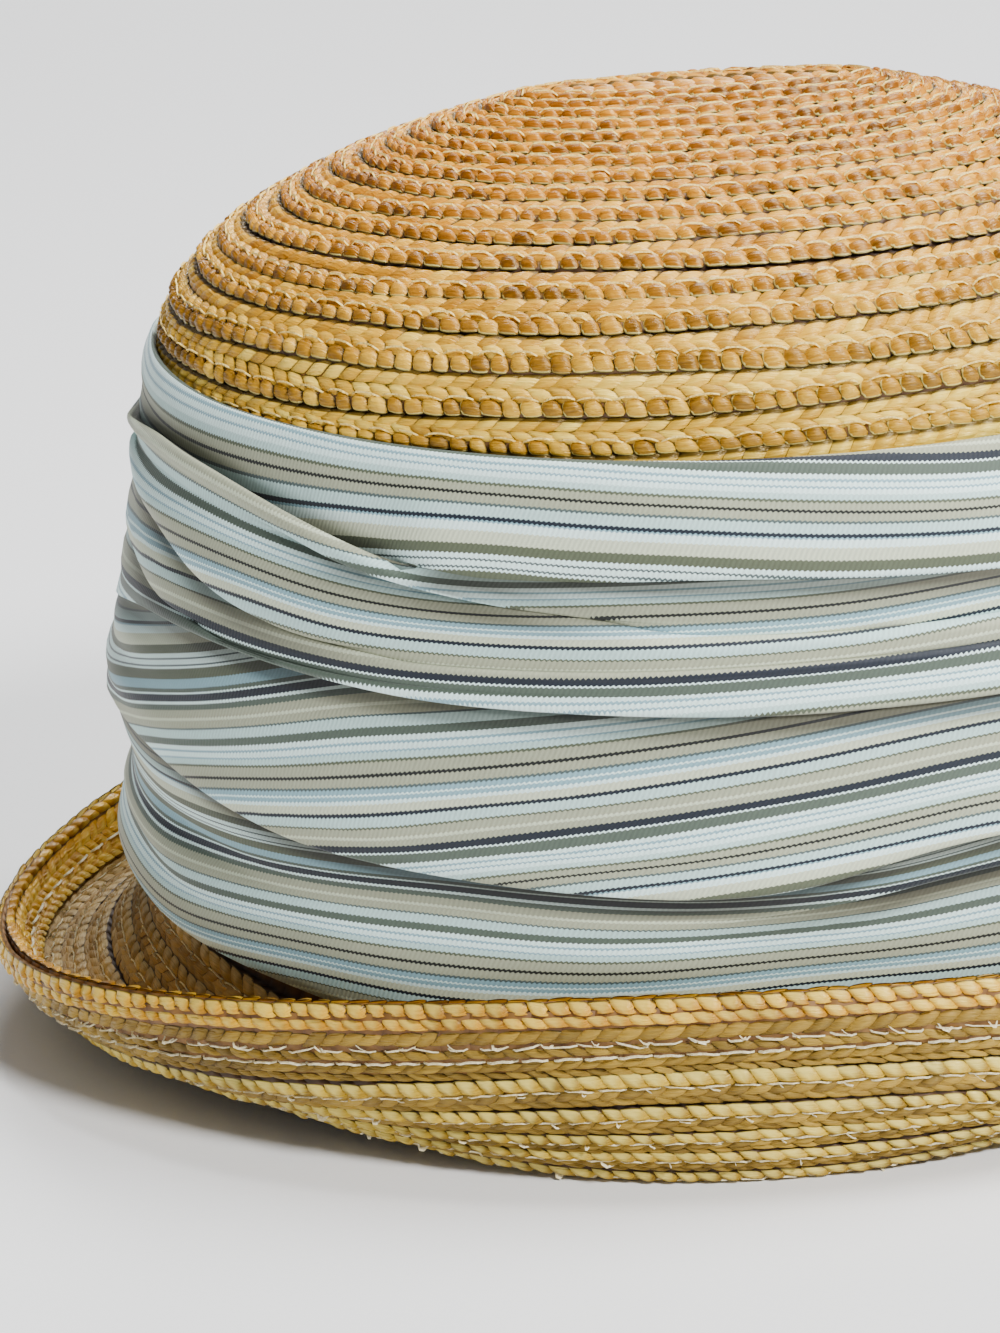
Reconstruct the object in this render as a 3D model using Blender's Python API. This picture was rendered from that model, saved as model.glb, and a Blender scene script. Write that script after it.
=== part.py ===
"""Straw cloche hat: a shell of sewn straw plait with a turned-up brim and a folded cloth sash.

Units are metres, +Z is up. The origin is the bottom centre, on the surface the hat rests on.
-X is the back of the head, +X the front, -Y and +Y the two sides.
The crown and brim are rings about Z. Round the hat, turn 0 is the back, a quarter turn is the -Y side.
"""
from collections import namedtuple
from math import cos, pi, sin

import bmesh
import bpy
from mathutils import Vector

MM = 0.001

# Driving dimensions of the straw shell
crown_height = 158.5 * MM      # from the resting surface to the tip of the crown
head_half_length = 101.4 * MM  # outside of the crown at its foot, front to back
head_half_width = 84.6 * MM    # outside of the crown at its foot, side to side
brim_end_reach = 31.1 * MM     # crown's outside to the middle of the straw at the rim, front and back
brim_side_reach = 11.2 * MM    # the same at the sides, where the brim hugs the head
rim_height_side = 33.6 * MM    # the brim is turned up most at the sides
rim_height_end = 17.0 * MM     # and least at the front and back
straw_wall = 2.0 * MM          # the plait's own thickness
row_pitch = 6.4 * MM           # from one row of plait to the next on the crown
row_lip = 0.9 * MM             # how far a row's lower edge stands over the next row
lip_share = 0.13               # share of a row's width that its stepped edge takes
crown_wall_rings = 5           # rings that carry the smooth wall under the sash
brim_rows = 8                  # rows of plait in the brim
resting_row = 1                # the row, counted from the crown, that the hat rests on at its sides
tread_share = 0.40             # share of that row's width where its flat tread begins
rim_row_width = 11.0 * MM      # the doubled plait row that finishes the rim
rim_row_wall = 1.8 * MM
rim_row_stand = 1.2 * MM       # how far its edge stands past the brim's own edge
edge_round = 0.25              # share of its wall that its edges are rounded by

# Driving dimensions of the cloth sash
sash_top_height = 116.8 * MM   # top edge, above the resting surface
hem_rise = 2.8 * MM            # bottom edge, above the seam of crown and brim at the sides
sash_fullness = 9.1 * MM       # how far its fullest fold stands off the crown
sash_wall = 2.4 * MM           # two to four layers of folded cloth
fold_step = 1.6 * MM           # height over which one fold steps down to the next

fit_gap = 0.3 * MM             # clearance between neighbouring pieces
points_round = 48              # points in every ring
walk_step = 0.02               # step along a table of sections, in sections, when a width is paced out

# Crown seen from the front and from the side, foot to tip, as shares of the three head sizes
CrownSection = namedtuple("CrownSection", "height half_length half_width")
CROWN = [
    CrownSection(0.000, 1.000, 1.000),
    CrownSection(0.284, 0.986, 0.987),
    CrownSection(0.473, 0.971, 0.969),
    CrownSection(0.631, 0.952, 0.948),
    CrownSection(0.726, 0.933, 0.929),
    CrownSection(0.767, 0.917, 0.908),
    CrownSection(0.806, 0.893, 0.877),
    CrownSection(0.837, 0.857, 0.825),
    CrownSection(0.863, 0.813, 0.759),
    CrownSection(0.884, 0.765, 0.688),
    CrownSection(0.921, 0.654, 0.534),
    CrownSection(0.948, 0.549, 0.407),
    CrownSection(0.963, 0.479, 0.329),
    CrownSection(0.977, 0.406, 0.246),
    CrownSection(0.988, 0.341, 0.168),
    CrownSection(0.996, 0.292, 0.097),
    CrownSection(1.000, 0.262, 0.035),
]

# Middle of the brim's straw from the seam under the sash to the rim.
# Reach is the share of the way out from crown to rim, at the ends and at the sides.
# Heights are shares of the rim's height at the sides: at the ends, an eighth turn on, and at the sides.
BrimSection = namedtuple("BrimSection", "end_reach side_reach end_height eighth_height side_height")
BRIM = [
    BrimSection(0.000, 0.000, 0.833, 0.714, 0.417),
    BrimSection(0.105, 0.235, 0.649, 0.390, 0.012),
    BrimSection(0.251, 0.574, 0.482, 0.246, 0.086),
    BrimSection(0.444, 0.730, 0.342, 0.250, 0.327),
    BrimSection(0.660, 0.843, 0.265, 0.325, 0.545),
    BrimSection(0.863, 0.930, 0.321, 0.521, 0.768),
    BrimSection(1.000, 1.000, 0.506, 0.774, 1.000),
]

# Fold lines of the sash, each a height at eight places round the hat, as a share of the sash's depth
# at the sides, down from its top edge. Above and below say how far the cloth stands off the crown just over and just
# under the line, as shares of the fullness. The -Y side comes first, then the front and the +Y side.
FoldLine = namedtuple(
    "FoldLine", "name back back_left left front_left front front_right right back_right above below"
)
SASH = [
    FoldLine("top", -0.048, -0.016, 0.010, 0.023, 0.028, 0.018, 0.008, -0.017, 0.16, 0.34),
    FoldLine("upper_fold", 0.068, 0.098, 0.175, 0.223, 0.218, 0.188, 0.168, 0.128, 0.36, 0.60),
    FoldLine("upper_swell", 0.246, 0.232, 0.273, 0.312, 0.305, 0.288, 0.276, 0.255, 0.72, 0.72),
    FoldLine("middle_fold", 0.410, 0.353, 0.390, 0.403, 0.403, 0.408, 0.408, 0.398, 0.95, 0.62),
    FoldLine("lower_swell", 0.512, 0.496, 0.540, 0.512, 0.520, 0.525, 0.530, 0.512, 1.00, 1.00),
    FoldLine("lower_fold", 0.588, 0.623, 0.694, 0.618, 0.638, 0.648, 0.668, 0.618, 0.95, 0.46),
    FoldLine("hem_fold", 0.728, 0.764, 0.762, 0.700, 0.718, 0.748, 0.768, 0.758, 0.62, 0.50),
    FoldLine("bottom", 0.850, 0.900, 1.000, 0.900, 0.860, 0.900, 1.000, 0.900, 0.62, 0.30),
]

STRAW = (0.62, 0.40, 0.14, 1.0)
STRAW_DARK = (0.50, 0.29, 0.09, 1.0)
CLOTH = (0.55, 0.58, 0.56, 1.0)


def smooth_between(values, at):
    """Read a list of numbers or vectors at a fractional place, along a curve through all of them."""
    last = len(values) - 1
    index = min(max(int(at), 0), last - 1)
    t = at - index
    before = values[index - 1] if index > 0 else values[0] * 2 - values[1]
    after = values[index + 2] if index + 2 <= last else values[last] * 2 - values[last - 1]
    start, end = values[index], values[index + 1]
    return (
        start
        + (end - before) * (t / 2)
        + (before * 2 - start * 5 + end * 4 - after) * (t * t / 2)
        + (start * 3 - before - end * 3 + after) * (t * t * t / 2)
    )


def round_blend(end, eighth, side, turn):
    """A height that is given at the ends, an eighth turn on and at the sides, blended round the hat."""
    mean = (end + side) / 2
    return (mean + eighth) / 2 + (end - side) / 2 * cos(4 * pi * turn) + (mean - eighth) / 2 * cos(8 * pi * turn)


def crown_curve():
    """Height, half length and half width of the crown's outside, as vectors from foot to tip."""
    return [
        Vector((s.height * crown_height, s.half_length * head_half_length, s.half_width * head_half_width))
        for s in CROWN
    ]


def on_oval(half_length, half_width, height, turn):
    angle = 2 * pi * turn
    return Vector((-half_length * cos(angle), -half_width * sin(angle), height))


def crown_point(at, turn):
    height, half_length, half_width = smooth_between(crown_curve(), at)
    return on_oval(half_length, half_width, height, turn)


def crown_place_at(height):
    """Where along the crown's sections its wall reaches a height."""
    low, high = 0.0, len(CROWN) - 1.0
    for _ in range(30):
        middle = (low + high) / 2
        if smooth_between(crown_curve(), middle)[0] < height:
            low = middle
        else:
            high = middle
    return low


def brim_point(at, turn):
    seam_half_length = head_half_length - straw_wall / 2
    seam_half_width = head_half_width - straw_wall / 2
    lengths = [seam_half_length + s.end_reach * (straw_wall / 2 + brim_end_reach) for s in BRIM]
    widths = [seam_half_width + s.side_reach * (straw_wall / 2 + brim_side_reach) for s in BRIM]
    end_scale = rim_height_end / (BRIM[-1].end_height * rim_height_side)
    heights = [
        rim_height_side * round_blend(s.end_height * end_scale, s.eighth_height, s.side_height, turn) for s in BRIM
    ]
    return on_oval(
        smooth_between(lengths, at), smooth_between(widths, at), smooth_between(heights, at), turn
    )


def lifted(surface, at, turn, lift):
    """A point on a surface, moved along the surface's own normal. The crown's and brim's normals point out."""
    step = 0.001
    along = surface(at + step, turn) - surface(at - step, turn)
    around = surface(at, turn + step) - surface(at, turn - step)
    return surface(at, turn) + around.cross(along).normalized() * lift


def ring(point_at):
    """One closed ring of points, from a function of the turn."""
    return [point_at(i / points_round) for i in range(points_round)]


def seam_height(turn):
    """Height of the seam between crown and brim, which the sash covers."""
    return brim_point(0.0, turn).z


def loft(name, rings, closed, material):
    """Skin rings of points into one closed body: a closed loop of rings, or an open row with both ends capped."""
    mesh = bpy.data.meshes.new(name)
    shape = bmesh.new()
    rows = [[shape.verts.new(point) for point in points] for points in rings]
    pairs = list(zip(rows, rows[1:])) + ([(rows[-1], rows[0])] if closed else [])
    for lower, upper in pairs:
        for i in range(points_round):
            j = (i + 1) % points_round
            shape.faces.new((lower[i], lower[j], upper[j], upper[i]))
    if not closed:
        shape.faces.new(rows[0])
        shape.faces.new(rows[-1])
    bmesh.ops.recalc_face_normals(shape, faces=shape.faces[:])
    bmesh.ops.triangulate(shape, faces=shape.faces[:])
    shape.to_mesh(mesh)
    shape.free()
    mesh.materials.append(material)
    piece = bpy.data.objects.new(name, mesh)
    bpy.context.collection.objects.link(piece)
    mesh.shade_smooth()
    mesh.set_sharp_from_angle(angle=0.6)
    return piece


def finish(name, colour, roughness, metallic=0.0):
    material = bpy.data.materials.new(name)
    material.use_nodes = True
    shader = material.node_tree.nodes["Principled BSDF"]
    shader.inputs["Base Color"].default_value = colour
    shader.inputs["Roughness"].default_value = roughness
    shader.inputs["Metallic"].default_value = metallic
    return material


def crown_row_places():
    """Places of the row edges on the crown, one row pitch apart, from the sash's top edge to the tip."""
    first = crown_place_at(sash_top_height)
    tip = len(CROWN) - 1.0
    places, travelled, at = [first], 0.0, first
    while at + walk_step < tip:
        at_end = (crown_point(at + walk_step, 0.0) - crown_point(at, 0.0)).length
        at_side = (crown_point(at + walk_step, 0.25) - crown_point(at, 0.25)).length
        travelled += (at_end + at_side) / 2
        at += walk_step
        if travelled >= row_pitch:
            places.append(at)
            travelled = 0.0
    return places


def at_seam(lift, rise=0.0):
    """A ring on the crown's wall at the seam, or a little above it."""

    def point_at(turn):
        at = crown_place_at(seam_height(turn) + rise)
        return lifted(crown_point, at, turn, lift)

    return ring(point_at)


def on_crown(at, lift):
    return ring(lambda turn: lifted(crown_point, at, turn, lift))


def make_crown(material):
    """The crown: a shell with an open foot, ribbed outside above the sash by its rows of plait."""
    rows = crown_row_places()
    tip = len(CROWN) - 1.0
    foot = crown_place_at(rim_height_side)
    wall = [foot + (rows[0] - foot) * i / crown_wall_rings for i in range(crown_wall_rings)]
    inner = [on_crown(at, -straw_wall) for at in rows[::-2] + wall[::-1]] + [at_seam(-straw_wall, fit_gap)]
    outer = [at_seam(0.0, fit_gap)] + [on_crown(at, 0.0) for at in wall]
    for at, above in zip(rows, rows[1:]):
        edge = at + (above - at) * lip_share
        outer += [on_crown(at, 0.0), on_crown(edge, row_lip)]
    outer += [on_crown(rows[-1], 0.0), on_crown(tip, row_lip)]
    return loft("crown", [on_crown(tip, row_lip - straw_wall)] + inner + outer, False, material)


def make_brim(material):
    """The brim: it goes on from the crown's foot, turns under and then up, ribbed by its rows on both faces."""
    rim = len(BRIM) - 1.0
    covered = rim_row_place()

    def no_lower(at, turn, lift, lowest):
        """A point off the brim's middle, flattened where the hat stands on its own brim."""
        point = lifted(brim_point, at, turn, lift)
        point.z = max(point.z, lowest)
        return point

    def outside(at, lift):
        return lambda turn: no_lower(at, turn, straw_wall / 2 + lift, 0.0)

    def inside(at, lift):
        return lambda turn: no_lower(at, turn, -straw_wall / 2 - lift, straw_wall)

    outer, inner = [], []
    for row in range(brim_rows):
        start, end = rim * row / brim_rows, rim * (row + 1) / brim_rows
        edge = start + (end - start) * (1 - lip_share)
        lip = row_lip if end <= covered else 0.0
        outer.append(ring(outside(start, 0.0)) if row else at_seam(-straw_wall))
        if row == resting_row:
            outer.append(ring(outside(start + (end - start) * tread_share, row_lip)))
        outer.append(ring(outside(edge, row_lip)))
        inner.append(ring(inside(start, lip)) if row else at_seam(0.0))
        inner.append(ring(inside(edge, 0.0)))
    outer.append(ring(outside(rim, 0.0)))
    inner.append(ring(inside(rim, 0.0)))
    return loft("brim", outer + inner[::-1], True, material)


def rim_row_place():
    """Place on the brim's section where the finishing row's inner edge lies."""
    rim = len(BRIM) - 1.0
    at, width = rim, 0.0
    while width < rim_row_width:
        width += (brim_point(at, 0.125) - brim_point(at - walk_step, 0.125)).length
        at -= walk_step
    return at


def make_rim_row(material):
    """The finishing row: a second plait laid along the inside of the rim, its edge just past the brim's."""
    rim = len(BRIM) - 1.0
    near = straw_wall / 2 + fit_gap
    far = near + rim_row_wall
    edge = rim + rim_row_stand / (brim_point(rim, 0.0) - brim_point(rim - 1.0, 0.0)).length
    inner_edge = rim_row_place()
    middle = (inner_edge + rim) / 2

    def section(at, share):
        lift = near + (far - near) * share
        return ring(lambda turn: lifted(brim_point, at, turn, -lift))

    rings = [section(inner_edge, 0.0), section(middle, 0.0), section(rim, 0.0), section(edge, edge_round)]
    rings += [section(edge, 1 - edge_round), section(middle, 1.0), section(inner_edge, 1 - edge_round)]
    return loft("rim_row", rings, True, material)


def fold_height(line, turn):
    """Height of a fold line at a turn, on a smooth closed curve through its places."""
    drops = line[1:-2]
    around = drops[-2:] + drops + drops[:2]
    depth = sash_top_height - seam_height(0.25) - hem_rise
    return sash_top_height - smooth_between(around, 2 + (turn % 1.0) * len(drops)) * depth


def fold_places():
    """The sash's rings from top to bottom: fold line, rise above it, stand off the crown as a share.

    Where the cloth steps at a fold, one ring lies just above the line and another just below it."""
    places = []
    for line in SASH:
        if line.above == line.below:
            places.append((line, 0.0, line.above))
        elif line.name == "top":
            places += [(line, 0.0, line.above), (line, -fold_step, line.below)]
        elif line.name == "bottom":
            places += [(line, fold_step, line.above), (line, 0.0, line.below)]
        else:
            places += [(line, fold_step / 2, line.above), (line, -fold_step / 2, line.below)]
    return places


def make_sash(material):
    """The sash: cloth wound round the crown in folds that step over each other, as one thin folded wall."""
    ribbed = ("top", "upper_fold")

    def at_fold(line, rise, stand):
        def point_at(turn):
            return lifted(crown_point, crown_place_at(fold_height(line, turn) + rise), turn, stand)

        return ring(point_at)

    outer, inner = [], []
    for line, rise, share in fold_places():
        seat = fit_gap + (row_lip if line.name in ribbed else 0.0)
        stand = seat + share * sash_fullness
        outer.append(at_fold(line, rise, stand))
        inner.append(at_fold(line, rise, max(seat, stand - sash_wall)))
    return loft("sash", outer + inner[::-1], True, material)


def main():
    for old in list(bpy.data.objects):
        bpy.data.objects.remove(old)
    straw = finish("straw", STRAW, 0.5)
    rim_straw = finish("rim_straw", STRAW_DARK, 0.55)
    cloth = finish("cloth", CLOTH, 0.75)
    make_crown(straw)
    make_brim(straw)
    make_rim_row(rim_straw)
    make_sash(cloth)


main()
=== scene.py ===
# %% [markdown]
# # A straw cloche hat with a folded striped sash
# The hat is a shell of sewn straw plait: an oval crown whose rows run round and round to a ridge at
# the top, and a narrow brim that turns up at the sides. A strip of fine striped cloth is laid round
# the crown in pleats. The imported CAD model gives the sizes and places. Everything here is dressed
# onto it, in metres, in the same frame: -X is the back, +X the front, and the -Y side faces us.

import math

import bmesh
import bpy
import numpy as np
from mathutils import Matrix, Vector


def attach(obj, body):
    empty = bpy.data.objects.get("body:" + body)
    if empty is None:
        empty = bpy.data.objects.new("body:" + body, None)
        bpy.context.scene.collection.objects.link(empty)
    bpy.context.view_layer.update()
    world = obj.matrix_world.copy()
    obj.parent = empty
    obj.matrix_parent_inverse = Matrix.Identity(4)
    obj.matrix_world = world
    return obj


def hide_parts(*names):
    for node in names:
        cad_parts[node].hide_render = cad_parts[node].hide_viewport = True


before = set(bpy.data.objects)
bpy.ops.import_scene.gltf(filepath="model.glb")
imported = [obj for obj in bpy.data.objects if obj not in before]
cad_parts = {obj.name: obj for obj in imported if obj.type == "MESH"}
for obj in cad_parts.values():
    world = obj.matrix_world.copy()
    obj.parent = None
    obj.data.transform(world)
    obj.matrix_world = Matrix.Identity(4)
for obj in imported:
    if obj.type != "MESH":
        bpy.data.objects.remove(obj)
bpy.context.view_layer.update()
MM = 0.001
print("nodes in the frame:", sorted(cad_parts))


def put(name, data):
    """A new object, linked into the scene."""
    thing = bpy.data.objects.new(name, data)
    bpy.context.scene.collection.objects.link(thing)
    return thing

# %% [markdown]
# ## The camera
# The photograph looks at the -Y side from a little above, from about 70 cm, through a long lens, and
# cuts the front of the brim off. The camera is placed first. Its turn is built from three plain vectors:
# where it looks, its right and its up.

# %% Place the camera
CAMERA_PLACE = (0.0, -0.686, 0.29508)
CAMERA_YAW, CAMERA_PITCH, CAMERA_ROLL = (math.radians(a) for a in (-3.300, 19.087, -4.184))
CAMERA_LENS = 111.43  # millimetres
SENSOR_HEIGHT = 36.0


def make_camera():
    look = Vector((math.sin(CAMERA_YAW) * math.cos(CAMERA_PITCH),
                   math.cos(CAMERA_YAW) * math.cos(CAMERA_PITCH), -math.sin(CAMERA_PITCH)))
    level = Vector((math.cos(CAMERA_YAW), -math.sin(CAMERA_YAW), 0.0))
    upright = level.cross(look)
    right = math.cos(CAMERA_ROLL) * level + math.sin(CAMERA_ROLL) * upright
    up = math.cos(CAMERA_ROLL) * upright - math.sin(CAMERA_ROLL) * level
    data = bpy.data.cameras.new("camera")
    data.sensor_fit = "VERTICAL"
    data.sensor_height = SENSOR_HEIGHT
    data.lens = CAMERA_LENS
    camera = put("camera", data)
    turn = Matrix((right, up, -look)).transposed().to_4x4()
    camera.matrix_world = Matrix.Translation(CAMERA_PLACE) @ turn
    bpy.context.scene.camera = camera


make_camera()
print("camera at", CAMERA_PLACE, "lens", CAMERA_LENS)

# %% [markdown]
# ## The shape that everything lies on
# Crown and brim are ovals that change from level to level, so a place on the hat is two numbers: how
# far up its table of sections, and what share of a turn round. The same tables as in the CAD source
# are written here, and one curve through them gives any place between. Numpy reads a whole ring at
# a time. A point can then be lifted off the surface along its normal, which is how plait, thread and
# cloth are all laid on it.

# %% Name the sizes of the straw
CROWN_HEIGHT = 158.5 * MM
HEAD_HALF_LENGTH = 101.4 * MM
HEAD_HALF_WIDTH = 84.6 * MM
BRIM_END_REACH = 31.1 * MM
BRIM_SIDE_REACH = 11.2 * MM
RIM_HEIGHT_SIDE = 33.6 * MM
RIM_HEIGHT_END = 17.0 * MM
STRAW_WALL = 2.0 * MM

# Crown from foot to tip: height, half length and half width, as shares of the three head sizes
CROWN = np.array([
    (0.000, 1.000, 1.000), (0.284, 0.986, 0.987), (0.473, 0.971, 0.969), (0.631, 0.952, 0.948),
    (0.726, 0.933, 0.929), (0.767, 0.917, 0.908), (0.806, 0.893, 0.877), (0.837, 0.857, 0.825),
    (0.863, 0.813, 0.759), (0.884, 0.765, 0.688), (0.921, 0.654, 0.534), (0.948, 0.549, 0.407),
    (0.963, 0.479, 0.329), (0.977, 0.406, 0.246), (0.988, 0.341, 0.168), (0.996, 0.292, 0.097),
    (1.000, 0.262, 0.035),
])

# Brim from seam to rim: reach at the ends and sides, then heights at the ends, eighths and sides
BRIM = np.array([
    (0.000, 0.000, 0.833, 0.714, 0.417), (0.105, 0.235, 0.649, 0.390, 0.012),
    (0.251, 0.574, 0.482, 0.246, 0.086), (0.444, 0.730, 0.342, 0.250, 0.327),
    (0.660, 0.843, 0.265, 0.325, 0.545), (0.863, 0.930, 0.321, 0.521, 0.768),
    (1.000, 1.000, 0.506, 0.774, 1.000),
])
CROWN_TIP = len(CROWN) - 1.0
BRIM_RIM = len(BRIM) - 1.0
print("crown sections:", len(CROWN), "and brim sections:", len(BRIM))

# %% [markdown]
# A place is read from the tables in three moves: the curve gives the section's numbers there, the
# oval turns them into a point, and the slope of the surface around it gives the way out.


# %% Read a place on the crown or the brim
def smooth_between(values, at):
    """Read rows of numbers at fractional places, along a curve through all of them."""
    at = np.asarray(at, float)
    last = len(values) - 1
    index = np.clip(at.astype(int), 0, last - 1)
    t = (at - index)[..., None]
    padded = np.concatenate([[2 * values[0] - values[1]], values, [2 * values[-1] - values[-2]]])
    before, start, end, after = (padded[index + i] for i in range(4))
    return (start + (end - before) * t / 2 + (before * 2 - start * 5 + end * 4 - after) * t ** 2 / 2
            + (start * 3 - before - end * 3 + after) * t ** 3 / 2)


def on_oval(half_length, half_width, height, turn):
    angle = 2 * np.pi * turn
    return np.stack([-half_length * np.cos(angle), -half_width * np.sin(angle), height], -1)


def crown_at(at, turn):
    at, turn = np.broadcast_arrays(at, turn)
    height, half_length, half_width = np.moveaxis(smooth_between(CROWN, at), -1, 0)
    return on_oval(half_length * HEAD_HALF_LENGTH, half_width * HEAD_HALF_WIDTH, height * CROWN_HEIGHT, turn)


def brim_at(at, turn):
    at, turn = np.broadcast_arrays(at, turn)
    end_reach, side_reach, end, eighth, side = np.moveaxis(smooth_between(BRIM, at), -1, 0)
    end = end * RIM_HEIGHT_END / (BRIM[-1, 2] * RIM_HEIGHT_SIDE)
    half_length = HEAD_HALF_LENGTH - STRAW_WALL / 2 + end_reach * (STRAW_WALL / 2 + BRIM_END_REACH)
    half_width = HEAD_HALF_WIDTH - STRAW_WALL / 2 + side_reach * (STRAW_WALL / 2 + BRIM_SIDE_REACH)
    mean = (end + side) / 2
    height = ((mean + eighth) / 2 + (end - side) / 2 * np.cos(4 * np.pi * turn)
              + (mean - eighth) / 2 * np.cos(8 * np.pi * turn))
    return on_oval(half_length, half_width, height * RIM_HEIGHT_SIDE, turn)


def normal_at(surface, at, turn):
    """The surface's own normal, which points out of the hat, or under the brim."""
    step = 0.001
    along = surface(at + step, turn) - surface(at - step, turn)
    around = surface(at, turn + step) - surface(at, turn - step)
    normal = np.cross(around, along)
    return normal / np.linalg.norm(normal, axis=-1, keepdims=True)


def lifted(surface, at, turn, lift):
    return surface(at, turn) + normal_at(surface, at, turn) * np.asarray(lift)[..., None]


HEIGHT_TABLE = np.linspace(0, CROWN_TIP, 1601)
HEIGHTS = crown_at(HEIGHT_TABLE, 0.0)[:, 2]


def crown_place(height):
    """Where along the crown's sections its wall reaches a height."""
    return np.interp(height, HEIGHTS, HEIGHT_TABLE)


# %% [markdown]
# ## Writing node trees as sums
# A material or a geometry tree is easier to read when it looks like arithmetic. A `Wire` stands for
# one output socket, and adding or multiplying wires adds the Math node that does it. A `Tree` makes
# every other node through one method: its type, its settings, then what goes into its sockets.


# %% Define wires and trees
class Wire:
    """One output socket of a node, which can be added, multiplied and so on."""

    def __init__(self, tree, socket):
        self.tree, self.socket = tree, socket

    def math(self, operation, *others):
        values = dict(enumerate((self, *others)))
        return self.tree.node("ShaderNodeMath", {"operation": operation}, values)

    def __add__(self, other):
        return self.math("ADD", other)

    __radd__ = __add__

    def __mul__(self, other):
        return self.math("MULTIPLY", other)

    def __sub__(self, other):
        return self.math("SUBTRACT", other)

    def __rsub__(self, other):
        return self * -1.0 + other

    def __truediv__(self, other):
        return self.math("DIVIDE", other)

    def larger(self, other):
        return self.math("MAXIMUM", other)

    def size(self):
        return self.math("ABSOLUTE")

    def between(self, low, high):
        """0 below low, 1 above high, and a soft step from one to the other."""
        return self.tree.node(
            "ShaderNodeMapRange", {"interpolation_type": "SMOOTHSTEP"},
            {"Value": self, "From Min": low, "From Max": high}, "Result")


class Tree:
    """A node tree, whose nodes are all made by one method."""

    def __init__(self, tree):
        self.tree = tree

    def node(self, kind, settings=None, sockets=None, out=0):
        made = self.tree.nodes.new(kind)
        for name, value in (settings or {}).items():
            if name == "stops":
                self.set_stops(made.color_ramp, value)
            elif name == "stepped":
                made.color_ramp.interpolation = "CONSTANT"
            else:
                setattr(made, name, value)
        for name, value in (sockets or {}).items():
            self.feed(made.inputs[name], value)
        return Wire(self, made.outputs[out])

    def feed(self, socket, value):
        if isinstance(value, Wire):
            self.tree.links.new(value.socket, socket)
        else:
            socket.default_value = value

    def set_stops(self, ramp, stops):
        while len(ramp.elements) < len(stops):
            ramp.elements.new(1.0)
        for element, (place, colour) in zip(ramp.elements, stops):
            element.position = place
            element.color = (*colour, 1.0)


class Finish(Tree):
    """A material around one Principled shader."""

    def __init__(self, name):
        self.material = bpy.data.materials.new(name)
        self.material.use_nodes = True
        super().__init__(self.material.node_tree)
        self.shader = self.tree.nodes["Principled BSDF"]

    def attribute(self, name):
        return self.node("ShaderNodeAttribute", {"attribute_name": name}, None, "Fac")

    def mix(self, share, under, over, blend="MIX"):
        settings = {"data_type": "RGBA", "blend_type": blend}
        return self.node("ShaderNodeMix", settings, {0: share, 6: under, 7: over}, 2)

    def ramp(self, share, stops):
        return self.node("ShaderNodeValToRGB", {"stops": stops}, {"Fac": share}, "Color")

    def noise(self, vector, scale, detail=2.0):
        sockets = {"Vector": vector, "Scale": scale, "Detail": detail}
        return self.node("ShaderNodeTexNoise", None, sockets, "Fac")

    def vector(self, x, y, z):
        return self.node("ShaderNodeCombineXYZ", None, {"X": x, "Y": y, "Z": z})

    def parts(self, vector):
        node = self.node("ShaderNodeSeparateXYZ", None, {0: vector}).socket.node
        return [Wire(self, socket) for socket in node.outputs]

    def place(self):
        return self.node("ShaderNodeTexCoord", None, None, "Object")

    def bump(self, height, distance, strength=1.0):
        sockets = {"Height": height, "Distance": distance, "Strength": strength}
        return self.node("ShaderNodeBump", None, sockets)

    def wear(self, **sockets):
        for name, value in sockets.items():
            self.feed(self.shader.inputs[name.replace("_", " ")], value)
        return self.material


def tint(red, green, blue):
    """A colour as a picture shows it, 0 to 255, turned into the linear light that a shader wants."""
    shares = np.array((red, green, blue)) / 255
    return tuple(np.where(shares <= 0.04045, shares / 12.92, ((shares + 0.055) / 1.055) ** 2.4))


# %% [markdown]
# ## The finish of the straw
# Wheat straw is split, flattened and plaited wet. Each strand is a glossy ribbon with fine streaks
# along it. Its thin sides let light through, and that light is painted into its colour as a pale outline;
# no two strands have the same tone. Every laid strand carries a random `tone` and its own small map
# named `leaf`, along and across the strand. The finish mixes three straw colours by the tone, streaks
# them along the strand, paints highlights on the sides and on the facet of a strand turned over an
# edge, and paints shade into the crevice where the strand dives under its neighbour.


# %% Define the straw finish
TOASTED = tint(240, 192, 96)  # what the straw near the crown's top is multiplied by
TOASTED_FROM, TOASTED_TO = 0.118, 0.156  # heights in metres
# how dark the painted shade in a strand's crevice is
CREVICE_SHADE_DARKNESS = 0.94
STRAW_SHINE = {"Specular_IOR_Level": 0.7, "Specular_Tint": (1.0, 0.80, 0.42, 1.0)}


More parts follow.
